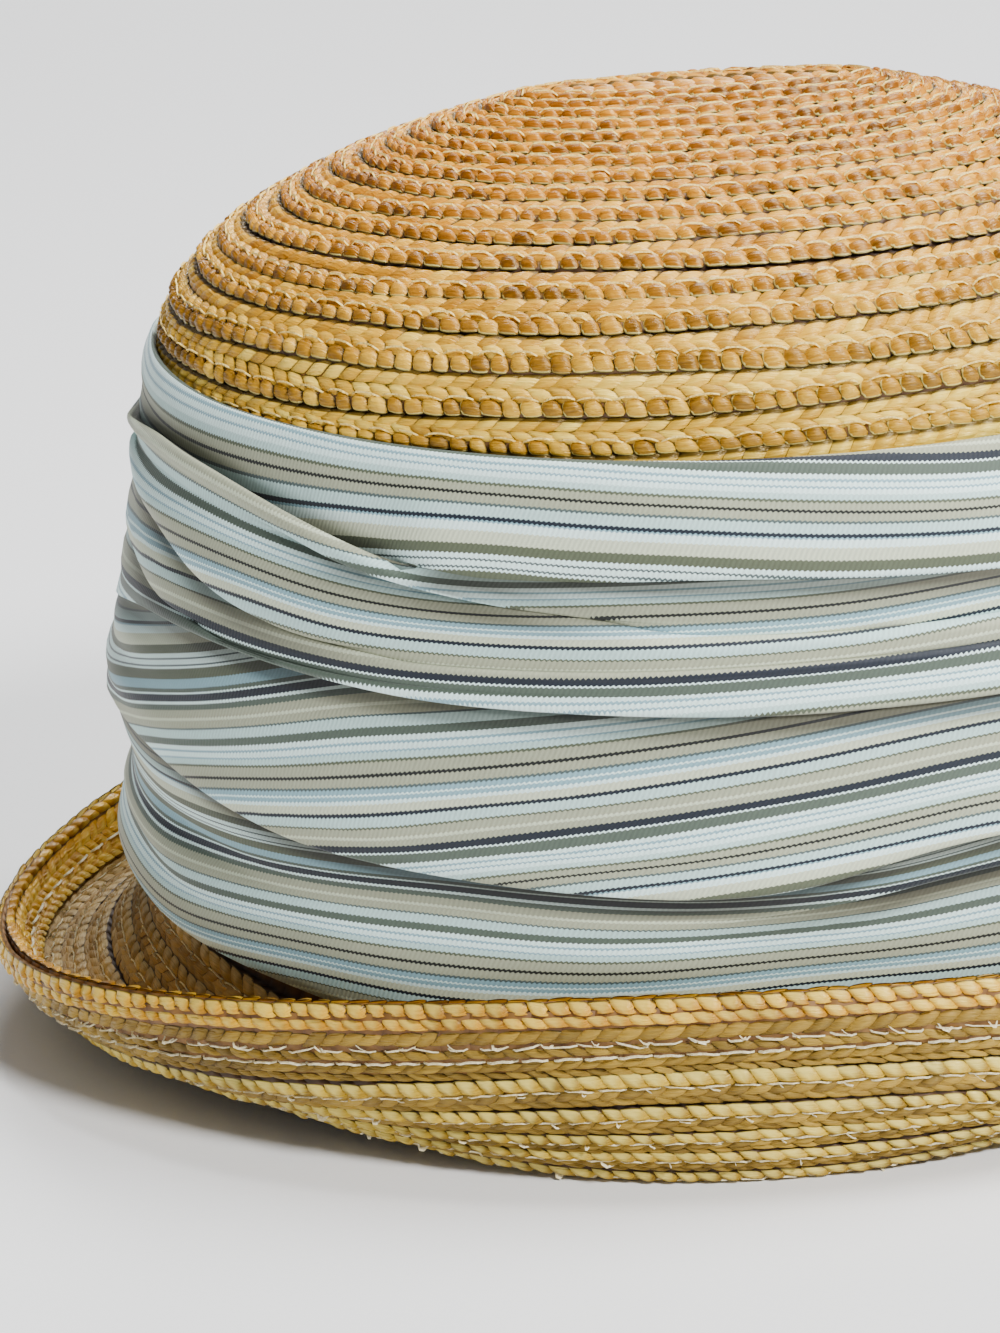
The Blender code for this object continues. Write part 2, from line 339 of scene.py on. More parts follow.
def straw_finish(name, deep, middle, bright, highlight_colour, side_highlight_share, facet_highlight_share, gloss, next_row_shade):
    finish = Finish(name)
    deep, middle, bright, highlight_colour = (tint(*colour) for colour in (deep, middle, bright, highlight_colour))
    leaf = finish.node("ShaderNodeUVMap", {"uv_map": "leaf"})
    along, across = finish.parts(leaf)[:2]
    height = finish.parts(finish.place())[2]
    tone = finish.attribute("tone")
    patches = finish.noise(finish.place(), 42.0, 3.0)
    streaks = finish.noise(finish.vector(along * 1.4 + tone * 31.0, across * 9.0, tone * 57.0), 1.0, 3.0)
    shade = tone * 0.50 + patches * 0.75 + (streaks - 0.5) * 0.6 - 0.13
    colour = finish.ramp(shade, [(0.16, deep), (0.5, middle), (0.84, bright)])
    toasted = finish.mix(1.0, colour, (*TOASTED, 1.0), "MULTIPLY")
    colour = finish.mix(height.between(TOASTED_FROM, TOASTED_TO) * 0.9, colour, toasted)

    # painted highlight: the pale side shows along a bowed line near the strand's start and along its near
    # edge
    bow = (across - 0.45) * (across - 0.45)
    turned = (bow * 0.55 + 0.10 - along).between(0.0, 0.05).larger((0.12 - across).between(0.0, 0.07))
    chance = (tone * 29.0).math("FRACT").between(-0.3, 0.6)
    colour = finish.mix(turned * chance * side_highlight_share, colour, (*highlight_colour, 1.0))

    # painted highlight on the flat facet of a strand that is folded over an edge, which widens away from
    # that edge
    facet = (across - (along - 0.5).size() * 1.4).between(0.05, 0.7)
    colour = finish.mix(facet * facet_highlight_share, colour, (*highlight_colour, 1.0))

    # painted shade: the crevice runs all round a strand, and is wider where the next row covers it
    border = (across - 0.5).size().larger((along - 0.5).size()) * 2.0
    covered_shade = across.between(0.64, 0.76) * next_row_shade
    crevice_shade = border.between(0.83, 0.97).larger(covered_shade) * CREVICE_SHADE_DARKNESS
    colour = finish.mix(crevice_shade, colour, (*(0.12 * np.array(deep)), 1.0))
    fibre = finish.bump(streaks, 0.00045, 0.8)
    return finish.wear(Base_Color=colour, Roughness=gloss + streaks * 0.2, Normal=fibre, **STRAW_SHINE)


STRAWS = {row[0]: straw_finish(*row) for row in [
    # name, deep, middle and bright straw and the pale colour of its painted highlights; then share of the
    # painted highlight on the side, of that on the facet, roughness of the gloss, and 1 where the next row's
    # painted shade lies on the strand's far side
    ("amber_straw", (108, 73, 8), (178, 128, 18), (232, 187, 58), (255, 240, 140), 0.9, 0.0, 0.22, 0.0),
    ("honey_straw", (172, 124, 22), (226, 179, 48), (252, 220, 92), (255, 240, 140), 0.10, 0.10, 0.22, 0.0),
    ("tucked_straw", (172, 124, 22), (226, 179, 48), (252, 220, 92), (255, 240, 140), 0.10, 0.10, 0.22, 1.0),
    ("golden_straw", (110, 80, 4), (168, 130, 16), (216, 178, 50), (255, 236, 128), 0.0, 0.60, 0.22, 0.0),
    ("tan_straw", (96, 70, 14), (134, 102, 28), (176, 140, 48), (222, 194, 104), 0.0, 0.12, 0.36, 0.0),
    ("pale_straw", (136, 100, 36), (178, 138, 66), (214, 178, 104), (250, 226, 164), 0.0, 0.35, 0.32, 0.0),
    ("brown_straw", (126, 94, 42), (166, 128, 66), (198, 162, 98), (228, 200, 138), 0.0, 0.15, 0.42, 0.0),
    ("orange_straw", (146, 94, 4), (204, 142, 14), (238, 188, 44), (255, 230, 112), 0.0, 0.50, 0.22, 0.0),
]}
print("straw finishes:", list(STRAWS))

# %% [markdown]
# Under the strands lies a plain shell, so that no light comes through. Its own finish only shows in
# the gaps and inside the crown: painted shade darkens it to dark brown in the gaps, and inside it is
# plaited with a bump. The thread that sews the rows is a thin waxed cotton, almost white on the brim
# and golden on the crown.


# %% Define the shell and thread finishes
def shell_finish():
    finish = Finish("straw_shell")
    gap = finish.attribute("gap")
    skew = (finish.attribute("row") * 2.0).math("PINGPONG", 1.0) * 0.6
    weave = (finish.attribute("along") + skew).math("FRACT")
    ridge = (weave - 0.5).size() * 2.0
    patches = finish.noise(finish.place(), 70.0, 3.0)
    colour = finish.ramp(patches * 0.6 + ridge * 0.35, [
        (0.2, tint(196, 142, 62)), (0.5, tint(168, 114, 46)), (0.85, tint(112, 70, 24))])
    # painted shade: the shell is darkened to dark brown by how deep in the shade its ring lies
    colour = finish.mix(gap, colour, (*tint(52, 30, 10), 1.0))
    relief = finish.bump(1.0 - ridge * ridge, 0.0006, 0.9)
    return finish.wear(Base_Color=colour, Roughness=0.5 + patches * 0.15, Normal=relief)


def thread_finish(name, shaded, lit):
    finish = Finish(name)
    fluff = finish.noise(finish.place(), 2600.0, 2.0)
    colour = finish.ramp(fluff, [(0.25, shaded), (0.6, lit)])
    return finish.wear(Base_Color=colour, Roughness=0.62, Normal=finish.bump(fluff, 0.0001))


shell_material = shell_finish()
thread_material = thread_finish("sewing_thread", tint(214, 192, 130), tint(255, 246, 208))
golden_thread = thread_finish("golden_thread", tint(206, 160, 60), tint(255, 226, 130))

# %% [markdown]
# ## One strand, made once
# Thousands of strands show, so each is a small cushion of 13 or 16 faces. It is one unit long and
# one unit wide, and slanted as the plait slants. One end stands higher than the other, so that laid
# in a row each strand dives under the next. A stitch is a short thread that comes up, bridges two
# strands and goes back down.


# %% Model the strands and the stitch
def small_shape(name, points, faces):
    """A small part from points that carry their place along and across the strand as well."""
    mesh = bpy.data.meshes.new(name)
    mesh.from_pydata([point[:3] for point in points], [], faces)
    mesh.shade_smooth()
    layer = mesh.uv_layers.new(name="leaf")
    corners = np.array([points[i][3:5] for face in faces for i in face], np.float32)
    layer.uv.foreach_set("vector", corners.ravel())
    mesh.set_sharp_from_angle(angle=1.3)
    return bpy.data.objects.new(name, mesh)


def cushion(x, y):
    """A round pillow, a little flat on top."""
    return (max(0.0, 1 - abs(2 * x) ** 2.6) * max(0.0, 1 - abs(2 * y) ** 2.6)) ** 0.6


def turned_edge(x, y):
    """A ribbon folded over an edge: a bright facet that narrows downwards, between two falling sides."""
    facet = 0.45 + 0.55 * (0.5 - y)
    left = max(0.0, (-0.50 - x) * 0.84 - (y - 0.5) * 0.40)
    right = max(0.0, (x - 0.50) * 0.84 - (y - 0.5) * 0.40)
    border = max(0.0, 1 - abs(2 * x) ** 6) * max(0.0, 1 - abs(2 * y) ** 6)
    return max(0.0, facet - 1.1 * left - 1.1 * right) * border ** 0.5


def make_strand(name, slant, shape=cushion, columns=4, rows=3, rise=0.45, taper=0.0):
    """A strand one unit long and wide. Its far side leans along the row by the slant."""
    points, faces = [], []
    for j in range(rows + 1):
        for i in range(columns + 1):
            x, y = i / columns - 0.5, j / rows - 0.5
            corner = 1 - 0.18 * (abs(2 * x) * abs(2 * y)) ** 2
            narrow = 1 - taper * (y + 0.5) ** 2
            height = shape(x, y) + rise * x * (1 - abs(2 * y) ** 3)
            points.append((corner * narrow * x + slant * y, y * corner, height, i / columns, j / rows))
    wide = columns + 1
    for j in range(rows):
        for i in range(columns):
            first = j * wide + i
            faces.append((first, first + 1, first + 1 + wide, first + wide))
    border = list(range(wide)) + [j * wide + columns for j in range(1, rows + 1)]
    border += [rows * wide + i for i in range(columns - 1, -1, -1)]
    border += [j * wide for j in range(rows - 1, 0, -1)]
    faces.append(tuple(reversed(border)))
    return small_shape(name, points, faces)


def make_stitch(name, arch=0.0, lean=0.0, sides=3, lengths=5):
    """A unit-long thread that rises from the plait, runs along or across it and dives again."""
    points, faces = [], []
    for i in range(lengths + 1):
        x = i / lengths - 0.5
        middle_y = arch * (1 - (2 * x) ** 2) + lean * x
        middle_z = 1.0 - 1.9 * abs(2 * x) ** 6
        for j in range(sides):
            angle = 2 * math.pi * (j + 0.5) / sides
            y, z = middle_y + 0.5 * math.cos(angle), middle_z + 0.5 * math.sin(angle)
            points.append((x, y, z, x + 0.5, j / sides))
    for i in range(lengths):
        for j in range(sides):
            near, far = i * sides + j, i * sides + (j + 1) % sides
            faces.append((near, near + sides, far + sides, far))
    faces.append(tuple(reversed(range(sides))))
    faces.append(tuple(range(lengths * sides, (lengths + 1) * sides)))
    return small_shape(name, points, faces)


bead = make_strand("bead", slant=-0.20, rise=0.25, taper=0.30, columns=5, rows=3)
edge_strand = make_strand("edge_strand", slant=-0.42, shape=turned_edge, rise=0.25, columns=5, rows=3)
rising_strand = make_strand("rising_strand", slant=0.55)
falling_strand = make_strand("falling_strand", slant=-0.55)
stitch = make_stitch("stitch", arch=1.2)
straight_stitch = make_stitch("straight_stitch", arch=0.25)
thread_end = make_stitch("thread_end", lean=-3.4, lengths=3)
print("faces in a strand:", len(bead.data.polygons), "and in a stitch:", len(stitch.data.polygons))

# %% [markdown]
# ## A tree that lays strands along rows
# A plait is the same strand over and over along a line, which is just what Geometry Nodes are for.
# The tree takes the rows as lines of points. Every point knows which way is out of the straw and how
# wide its row is there. The lines are walked at an even pitch, a strand is stood on each step, turned
# to the line and to the outward direction, and each gets a little chance in size, turn and tone.
# The same tree lays beads, flat strands and stitches: only its named inputs differ.


# %% Build the laying tree
LAY_INPUTS = [("Shape", "Object"), ("Finish", "Material"), ("Pitch", "Float"), ("Length", "Float"),
              ("Width share", "Float"), ("Thickness", "Float"), ("Looseness", "Float"), ("Seed", "Int")]


def laying_tree():
    group = bpy.data.node_groups.new("lay_along_rows", "GeometryNodeTree")
    face = group.interface
    face.new_socket("Rows", in_out="INPUT", socket_type="NodeSocketGeometry")
    for name, kind in LAY_INPUTS:
        face.new_socket(name, in_out="INPUT", socket_type="NodeSocket" + kind)
    face.new_socket("Laid", in_out="OUTPUT", socket_type="NodeSocketGeometry")
    tree = Tree(group)
    given = group.nodes.new("NodeGroupInput")
    take = {socket.name: Wire(tree, socket) for socket in given.outputs if socket.name}

    def chance(low, high, offset, kind="FLOAT"):
        sockets = {"Seed": take["Seed"] + float(offset)}
        slots = {"FLOAT": ("Min_001", "Max_001", 1), "FLOAT_VECTOR": ("Min", "Max", 0)}[kind]
        made = tree.node("FunctionNodeRandomValue", {"data_type": kind}, sockets, slots[2])
        node = made.socket.node
        for slot, value in ((slots[0], low), (slots[1], high)):
            socket = next(s for s in node.inputs if s.identifier == slot)
            tree.feed(socket, value)
        return made

    def read(name, kind, out):
        return tree.node("GeometryNodeInputNamedAttribute", {"data_type": kind}, {"Name": name}, out)

    lines = tree.node("GeometryNodeMeshToCurve", None, {"Mesh": take["Rows"]})
    steps = tree.node("GeometryNodeCurveToPoints", {"mode": "LENGTH"},
                      {"Curve": lines, "Length": take["Pitch"]})
    tangent = Wire(tree, steps.socket.node.outputs["Tangent"])
    upright = tree.node("FunctionNodeAlignRotationToVector", {"axis": "Z"},
                        {"Vector": read("out", "FLOAT_VECTOR", 0)})
    aligned = tree.node("FunctionNodeAlignRotationToVector", {"axis": "X", "pivot_axis": "Z"},
                        {"Rotation": upright, "Vector": tangent})
    angles = chance((-0.5, -0.5, -1.0), (0.5, 0.5, 1.0), 1, "FLOAT_VECTOR")
    sway = tree.node("ShaderNodeVectorMath", {"operation": "SCALE"}, {0: angles, "Scale": take["Looseness"]})
    swayed = tree.node("FunctionNodeEulerToRotation", None, {0: sway})
    turned = tree.node("FunctionNodeRotateRotation", {"rotation_space": "LOCAL"},
                       {"Rotation": aligned, "Rotate By": swayed})
    spread = take["Looseness"] * chance(-1.0, 1.0, 2) + 1.0
    size = tree.node("ShaderNodeCombineXYZ", None, {
        "X": take["Length"] * (take["Looseness"] * chance(-1.5, 1.5, 3) + 1.0),
        "Y": read("reach", "FLOAT", 0) * take["Width share"] * spread,
        "Z": take["Thickness"] * (take["Looseness"] * chance(-2.0, 2.0, 4) + 1.0)})
    shape = tree.node("GeometryNodeObjectInfo", None, {"Object": take["Shape"]}, "Geometry")
    laid = tree.node("GeometryNodeInstanceOnPoints", None,
                     {"Points": steps, "Instance": shape, "Rotation": turned, "Scale": size})
    toned = tree.node("GeometryNodeStoreNamedAttribute", {"data_type": "FLOAT", "domain": "INSTANCE"},
                      {"Geometry": laid, "Name": "tone", "Value": chance(0.0, 1.0, 5)})
    real = tree.node("GeometryNodeRealizeInstances", None, {"Geometry": toned})
    dressed = tree.node("GeometryNodeSetMaterial", None, {"Geometry": real, "Material": take["Finish"]})
    result = group.nodes.new("NodeGroupOutput")
    tree.feed(result.inputs["Laid"], dressed)
    return group


LAY = laying_tree()
print("laying tree inputs:", [s.name for s in LAY.interface.items_tree if s.in_out == "INPUT"])


# %% [markdown]
# Running the tree is the same for every piece. The rows become a bare mesh of closed lines, the
# modifier gets its inputs by their identifiers, and the evaluated result is kept as a plain mesh.


# %% Lay one kind of strand along its rows
def write_values(mesh, name, values, kind="FLOAT", domain="POINT"):
    """Keep one value for each point or corner of a mesh, under a name."""
    field = "vector" if kind == "FLOAT_VECTOR" else "value"
    mesh.attributes.new(name, kind, domain).data.foreach_set(field, values.astype(np.float32).ravel())


def rows_object(rings, outs, reaches):
    """Closed lines of points, each with the way out of the straw and the width of its row there."""
    count = rings.shape[1]
    starts = np.arange(len(rings))[:, None] * count
    edges = np.stack([starts + np.arange(count), starts + np.roll(np.arange(count), -1)], -1).reshape(-1, 2)
    mesh = bpy.data.meshes.new("rows")
    mesh.from_pydata(rings.reshape(-1, 3).tolist(), edges.tolist(), [])
    write_values(mesh, "out", outs, "FLOAT_VECTOR")
    write_values(mesh, "reach", reaches)
    return put("rows", mesh)


def lay(rows, *inputs):
    """The mesh of one kind of strand along its rows, from the tree's inputs in the tree's own order."""
    carrier = rows_object(*rows)
    laying = carrier.modifiers.new("lay", "NODES")
    laying.node_group = LAY
    keys = {s.name: s.identifier for s in LAY.interface.items_tree if s.in_out == "INPUT"}
    for (key, _), value in zip(LAY_INPUTS, inputs, strict=True):
        laying[keys[key]] = value
    graph = bpy.context.evaluated_depsgraph_get()
    mesh = bpy.data.meshes.new_from_object(carrier.evaluated_get(graph), depsgraph=graph)
    bpy.data.objects.remove(carrier)
    return mesh


def keep_above_ground(mesh):
    spots = np.zeros(len(mesh.vertices) * 3, np.float32)
    mesh.vertices.foreach_get("co", spots)
    spots[2::3] = np.maximum(spots[2::3], 0.0)
    mesh.vertices.foreach_set("co", spots)
    mesh.update()


def count_triangles(mesh):
    return sum(len(p.vertices) - 2 for p in mesh.polygons)


def add_piece(mesh, slot, *nodes):
    """Put a finished mesh in the scene as a piece of the hat, riding on its one body."""
    piece = put(mesh.name, mesh)
    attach(piece, "root")
    if nodes:
        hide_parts(*nodes)
    print(piece.name, "has", count_triangles(mesh), "triangles")


def merged(name, meshes):
    """Several meshes joined into one, with their attributes and materials."""
    objects = [put(name, mesh) for mesh in meshes]
    if len(objects) > 1:
        bpy.context.view_layer.objects.active = objects[0]
        with bpy.context.temp_override(active_object=objects[0], selected_editable_objects=objects):
            bpy.ops.object.join()
    mesh = objects[0].data
    bpy.data.objects.remove(objects[0])
    mesh.name = name
    return mesh


# %% [markdown]
# ## Rows of plait
# Sewn plait overlaps like roof tiles. Each row has a free edge that stands proud and a far edge that
# slips under its neighbour. A row therefore runs from its free edge's place to the next row's, and a
# track of strands lies at a share of the way between. The real rows are one long spiral, and rings
# look the same, so each row is a closed ring with a slight waver of its own.

# %% Define the tracks of a face
TURNS = np.arange(240) / 240
LIP = 0.55 * MM  # how far a row's free edge stands over its far edge


def waver(row, turn):
    """A slight unevenness of a sewn row, as a share of its width."""
    long_wave = np.sin(2 * np.pi * (3 * turn + 0.37 * row))
    short_wave = np.sin(2 * np.pi * (8 * turn + 0.71 * row))
    return 0.05 * long_wave + 0.03 * short_wave


def track(surface, edges, share, side, base):
    """Rings, outward directions and row widths of one track of strands, for rows between those edges."""
    rings, outs, reaches = [], [], []
    for row, (free, far) in enumerate(zip(edges, edges[1:])):
        place = free + (far - free) * (share + waver(row, TURNS))
        out = side * normal_at(surface, place, TURNS)
        rings.append(surface(place, TURNS) + out * (base + LIP * (1 - share)))
        outs.append(out)
        width = surface(far + 0 * TURNS, TURNS) - surface(free + 0 * TURNS, TURNS)
        reaches.append(np.linalg.norm(width, axis=-1))
    return np.array(rings), np.array(outs), np.array(reaches)


def seam(surface, edges, share, side, base):
    """The same for a thread, whose width is given in metres and not as a share of the row's."""
    rings, outs, reaches = track(surface, edges, share, side, base)
    return rings, outs, np.ones_like(reaches)


# %% [markdown]
# Under the strands each face has a shell. Its rings step down at every free edge, so a groove is left
# there, and a mark named `gap` tells its finish how much shade to paint on each ring, by how deep in
# the shade it lies.


# %% Skin a shell
# share of the row, lift off the face, and how far in the shade
SHELL_STEPS = [(-0.02, -0.35 * MM, 1.0), (0.03, LIP * 0.9, 0.9), (0.4, LIP * 0.6, 0.35), (0.85, 0.0, 0.5)]
ROUND_SHELL = 162.0  # strands in one turn, which the shell's plaited finish counts


def stepped_shell(edges, base):
    """Places, lifts and gaps of a shell's rings on one face."""
    steps = [(free + (far - free) * share, base + lift, gap)
             for free, far in zip(edges, edges[1:]) for share, lift, gap in SHELL_STEPS]
    return [list(column) for column in zip(*steps)]


def shell_ring(surface, place, lift):
    return lifted(surface, place + 0 * TURNS, TURNS, lift + 0 * TURNS)


def shell_mesh(name, surface, places, lifts, gaps, lowest=None):
    """Skin a closed shell from rings. Its outer face stays off the ground and its inner one over lowest."""
    rings = np.array([shell_ring(surface, place, lift) for place, lift in zip(places, lifts)])
    if lowest is not None:
        floor = np.where(np.array(lifts) > 0, 0.0, lowest)[:, None]
        rings[:, :, 2] = np.maximum(rings[:, :, 2], floor)
    return skin(name, rings, gaps, True)


def mark_run(mesh, name, columns, whole):
    """Mark how far round the hat each corner lies, so that the last column ends where the first begins."""
    corners = np.zeros(len(mesh.loops), np.int32)
    mesh.loops.foreach_get("vertex_index", corners)
    side_corners = corners % columns
    sizes = np.array([len(p.vertices) for p in mesh.polygons])
    face = np.repeat(np.arange(len(sizes)), sizes)
    highest = np.zeros(len(sizes), int)
    np.maximum.at(highest, face, side_corners)
    wrapped = (side_corners == 0) & (highest[face] == columns - 1)
    run = np.where(wrapped, columns, side_corners) * whole / columns
    write_values(mesh, name, run, domain="CORNER")


def skin(name, rings, gaps, closed_loop):
    """A mesh through rings of points, closed either from the last ring to the first or by two ends."""
    count, around = rings.shape[:2]
    index = np.arange(count * around).reshape(count, around)
    upper = np.roll(index, -1, 0) if closed_loop else index[1:]
    lower = index if closed_loop else index[:-1]
    quads = np.stack([lower, np.roll(lower, -1, 1), np.roll(upper, -1, 1), upper], -1)
    quads = quads.reshape(-1, 4).tolist()
    if not closed_loop:
        for ring in (index[0], index[-1]):
            mirrored = np.roll(ring[::-1], 1)
            quads += [(ring[i], ring[i + 1], mirrored[i + 1], mirrored[i])
                      for i in range(1, around // 2 - 1)]
            quads += [(ring[0], ring[1], ring[-1]), tuple(ring[around // 2 - 1:around // 2 + 2])]
    shape = bmesh.new()
    spots = [shape.verts.new(p) for p in rings.reshape(-1, 3)]
    for quad in quads:
        shape.faces.new([spots[i] for i in quad])
    bmesh.ops.recalc_face_normals(shape, faces=shape.faces[:])
    mesh = bpy.data.meshes.new(name)
    shape.to_mesh(mesh)
    shape.free()
    write_values(mesh, "gap", np.repeat(gaps, around))
    write_values(mesh, "row", np.repeat(np.arange(count) / len(SHELL_STEPS), around))
    mark_run(mesh, "along", around, ROUND_SHELL)
    mesh.shade_smooth()
    mesh.materials.append(shell_material)
    return mesh


# %% [markdown]
# ## The crown
# The crown has eighteen rows, of which the lowest is mostly under the sash. Each has, from its free
# lower edge upwards, a line of round amber beads, a line of stitches over them, and two tracks of
# flat strands that slant opposite ways. At the very top the plait starts with a narrow loop.

# %% Lay the crown
CROWN_EDGES = [3.50, 4.30, 5.19, 6.17, 7.29, 8.29, 9.16, 9.62, 9.99, 10.44, 10.90, 11.50, 12.10, 12.60,
               13.15, 13.80, 14.40, 15.00, 15.70]
CROWN_ROWS_SHOWN = CROWN_EDGES[1:]
TIP_HALF_LENGTH, TIP_HALF_WIDTH = 25.0 * MM, 1.6 * MM


def tip_line():
    ring = on_oval(TIP_HALF_LENGTH, TIP_HALF_WIDTH, CROWN_HEIGHT + 0 * TURNS, TURNS)
    return ring[None], np.tile((0.0, 0.0, 1.0), (1, len(TURNS), 1)), np.ones((1, len(TURNS)))


def lay_straws(edges, surface, side, base, relief, seed, share, strand, finish, *sizes):
    """One track of strands. Relief is how plump they are beside their table's thickness."""
    pitch, length, width, thickness, loose = sizes
    return lay(track(surface, edges, share, side, base), strand, STRAWS[finish],
               pitch * MM, length * MM, width, thickness * MM * relief, loose, seed)


# share of the row, strand, finish, pitch and length in mm, share of the row's width, thickness in mm
# and looseness
BEAD_TRACK = (0.20, bead, "amber_straw", 3.3, 3.8, 0.46, 1.15, 0.10)
LOW_TRACK = (0.50, falling_strand, "honey_straw", 3.4, 4.2, 0.42, 0.9, 0.08)
HIGH_TRACK = (0.79, rising_strand, "tucked_straw", 3.4, 4.2, 0.47, 0.9, 0.08)


def dress_crown():
    beads = lay_straws(CROWN_ROWS_SHOWN, crown_at, 1, 0.0, 1.0, 11, *BEAD_TRACK)
    low = lay_straws(CROWN_ROWS_SHOWN, crown_at, 1, 0.0, 1.0, 12, *LOW_TRACK)
    high = lay_straws(CROWN_EDGES, crown_at, 1, 0.0, 1.0, 13, *HIGH_TRACK)
    tip = lay(tip_line(), falling_strand, STRAWS["honey_straw"],
              3.4 * MM, 4.2 * MM, 3.4 * MM, 0.9 * MM, 0.08, 15)
    sewn = lay(seam(crown_at, CROWN_ROWS_SHOWN, 0.38, 1, 0.75 * MM), stitch, golden_thread,
               5.5 * MM, 4.9 * MM, 0.36 * MM, 0.36 * MM, 0.12, 14)
    add_piece(merged("crown_beads", [beads]), "straw")
    add_piece(merged("crown_strands", [low, high, tip]), "straw")
    add_piece(merged("crown_thread", [sewn]), "straw")


# %% [markdown]
# The crown's shell is skinned from its inner tip down to the foot, round the seam's edge, and up the
# outside over the steps of its rows. Inside, each row is a soft rib.

# %% Skin the crown
CROWN_FOOT = crown_place(RIM_HEIGHT_SIDE * 0.9)
SEAM_LAP = 0.3 * MM  # how far the crown's edge ends over the brim's seam
RIB_DEPTH = 0.35 * MM


def crown_shell():
    lap = crown_place(brim_at(0.0, TURNS)[:, 2] + SEAM_LAP)
    inside = np.linspace(CROWN_TIP, CROWN_FOOT, 72)
    rows = np.interp(inside, CROWN_EDGES, np.arange(len(CROWN_EDGES)))
    ribs = -STRAW_WALL + RIB_DEPTH * np.cos(2 * np.pi * rows)
    wall = np.linspace(CROWN_FOOT, CROWN_EDGES[0] - 0.05, 12)
    places, lifts, gaps = stepped_shell(CROWN_EDGES, 0.0)
    rings = [shell_ring(crown_at, place, lift) for place, lift in zip(inside, ribs)]
    rings += [shell_ring(crown_at, lap, -STRAW_WALL), shell_ring(crown_at, lap, 0.0)]
    rings += [shell_ring(crown_at, place, 0.0) for place in wall]
    rings += [shell_ring(crown_at, place, lift) for place, lift in zip(places, lifts)]
    plain = [0.0] * (len(rings) - len(gaps))
    return skin("crown_shell", np.array(rings), plain + gaps, False)


add_piece(crown_shell(), "straw", "crown")
dress_crown()

# %% [markdown]
# ## The brim
# The brim's outer face shows the rows the other way round: their free edges point up to the rim. The
# inner face has its free edges towards the crown. The edge strands are plump and bright, and the two
# tracks behind them are flatter and browner. Each row is sewn with a long thread, and short loose
# ends stick out of it. Strands on the underside are pressed flat where the hat stands on them.

# %% Lay the brim
OUTER_EDGES = [4.43, 3.61, 2.91, 2.48, 2.00, 1.50, 1.00, 0.50, 0.0]
INNER_EDGES = [0.35, 1.1, 1.85, 2.6, 3.35, 4.1, 4.75]
HALF_WALL = STRAW_WALL / 2


def dress_brim(label, edges, side, seed, edge_finish, leaf_finish, relief):
    """Strands and thread of one face, whose side is 1 outside and -1 inside."""
    tracks = [(0.20, edge_strand, edge_finish, 3.4, 4.4, 0.48, 1.3, 0.09),
              (0.58, rising_strand, leaf_finish, 3.4, 4.2, 0.44, 0.85, 0.09),
              (0.83, falling_strand, leaf_finish, 3.4, 4.2, 0.36, 0.70, 0.09)]
    strands = [lay_straws(edges, brim_at, side, HALF_WALL, relief, seed + number, *row)
               for number, row in enumerate(tracks)]
    proud = HALF_WALL + 0.5 * MM * relief
    thread = [lay(seam(brim_at, edges, 0.44, side, proud), stitch, thread_material,
                  5.4 * MM, 4.8 * MM, 0.36 * MM, 0.38 * MM, 0.10, seed + 3),
              lay(seam(brim_at, edges, 0.50, side, proud), thread_end, thread_material,
                  10.5 * MM, 1.9 * MM, 0.28 * MM, 0.5 * MM, 0.45, seed + 4)]
    for kind, meshes in (("strands", strands), ("thread", thread)):
        mesh = merged(label + "_" + kind, meshes)
        keep_above_ground(mesh)
        add_piece(mesh, "straw")


def brim_shell():
    """A closed shell: down the outer face from the rim, round the seam and up the inner face."""
    outer = [(BRIM_RIM - 0.05, HALF_WALL, 0.6), (5.2, HALF_WALL + 0.1 * MM, 0.6), (4.5, HALF_WALL, 0.6)]
    outer += list(zip(*stepped_shell(OUTER_EDGES, HALF_WALL))) + [(0.0, HALF_WALL, 0.2)]
    steps = zip(*stepped_shell(INNER_EDGES, HALF_WALL))
    inner = [(0.0, -HALF_WALL, 0.0)] + [(place, -lift, gap) for place, lift, gap in steps]
    inner += [(5.2, -HALF_WALL, 0.3), (BRIM_RIM, -HALF_WALL, 0.2)]
    return shell_mesh("brim_shell", brim_at, *zip(*(outer + inner)), lowest=STRAW_WALL)


add_piece(brim_shell(), "straw", "brim")
dress_brim("brim_outer", OUTER_EDGES, 1, 21, "golden_straw", "tan_straw", 1.0)
dress_brim("brim_inner", INNER_EDGES, -1, 31, "pale_straw", "brown_straw", 0.6)

# %% [markdown]
# The finishing row is a second plait inside the rim, and its edge stands just over the brim's own, so
# the rim shows two lines of plump strands. Below them the brim's top row is a plain herringbone, sewn
# with two lines of thread whose ends stick out.

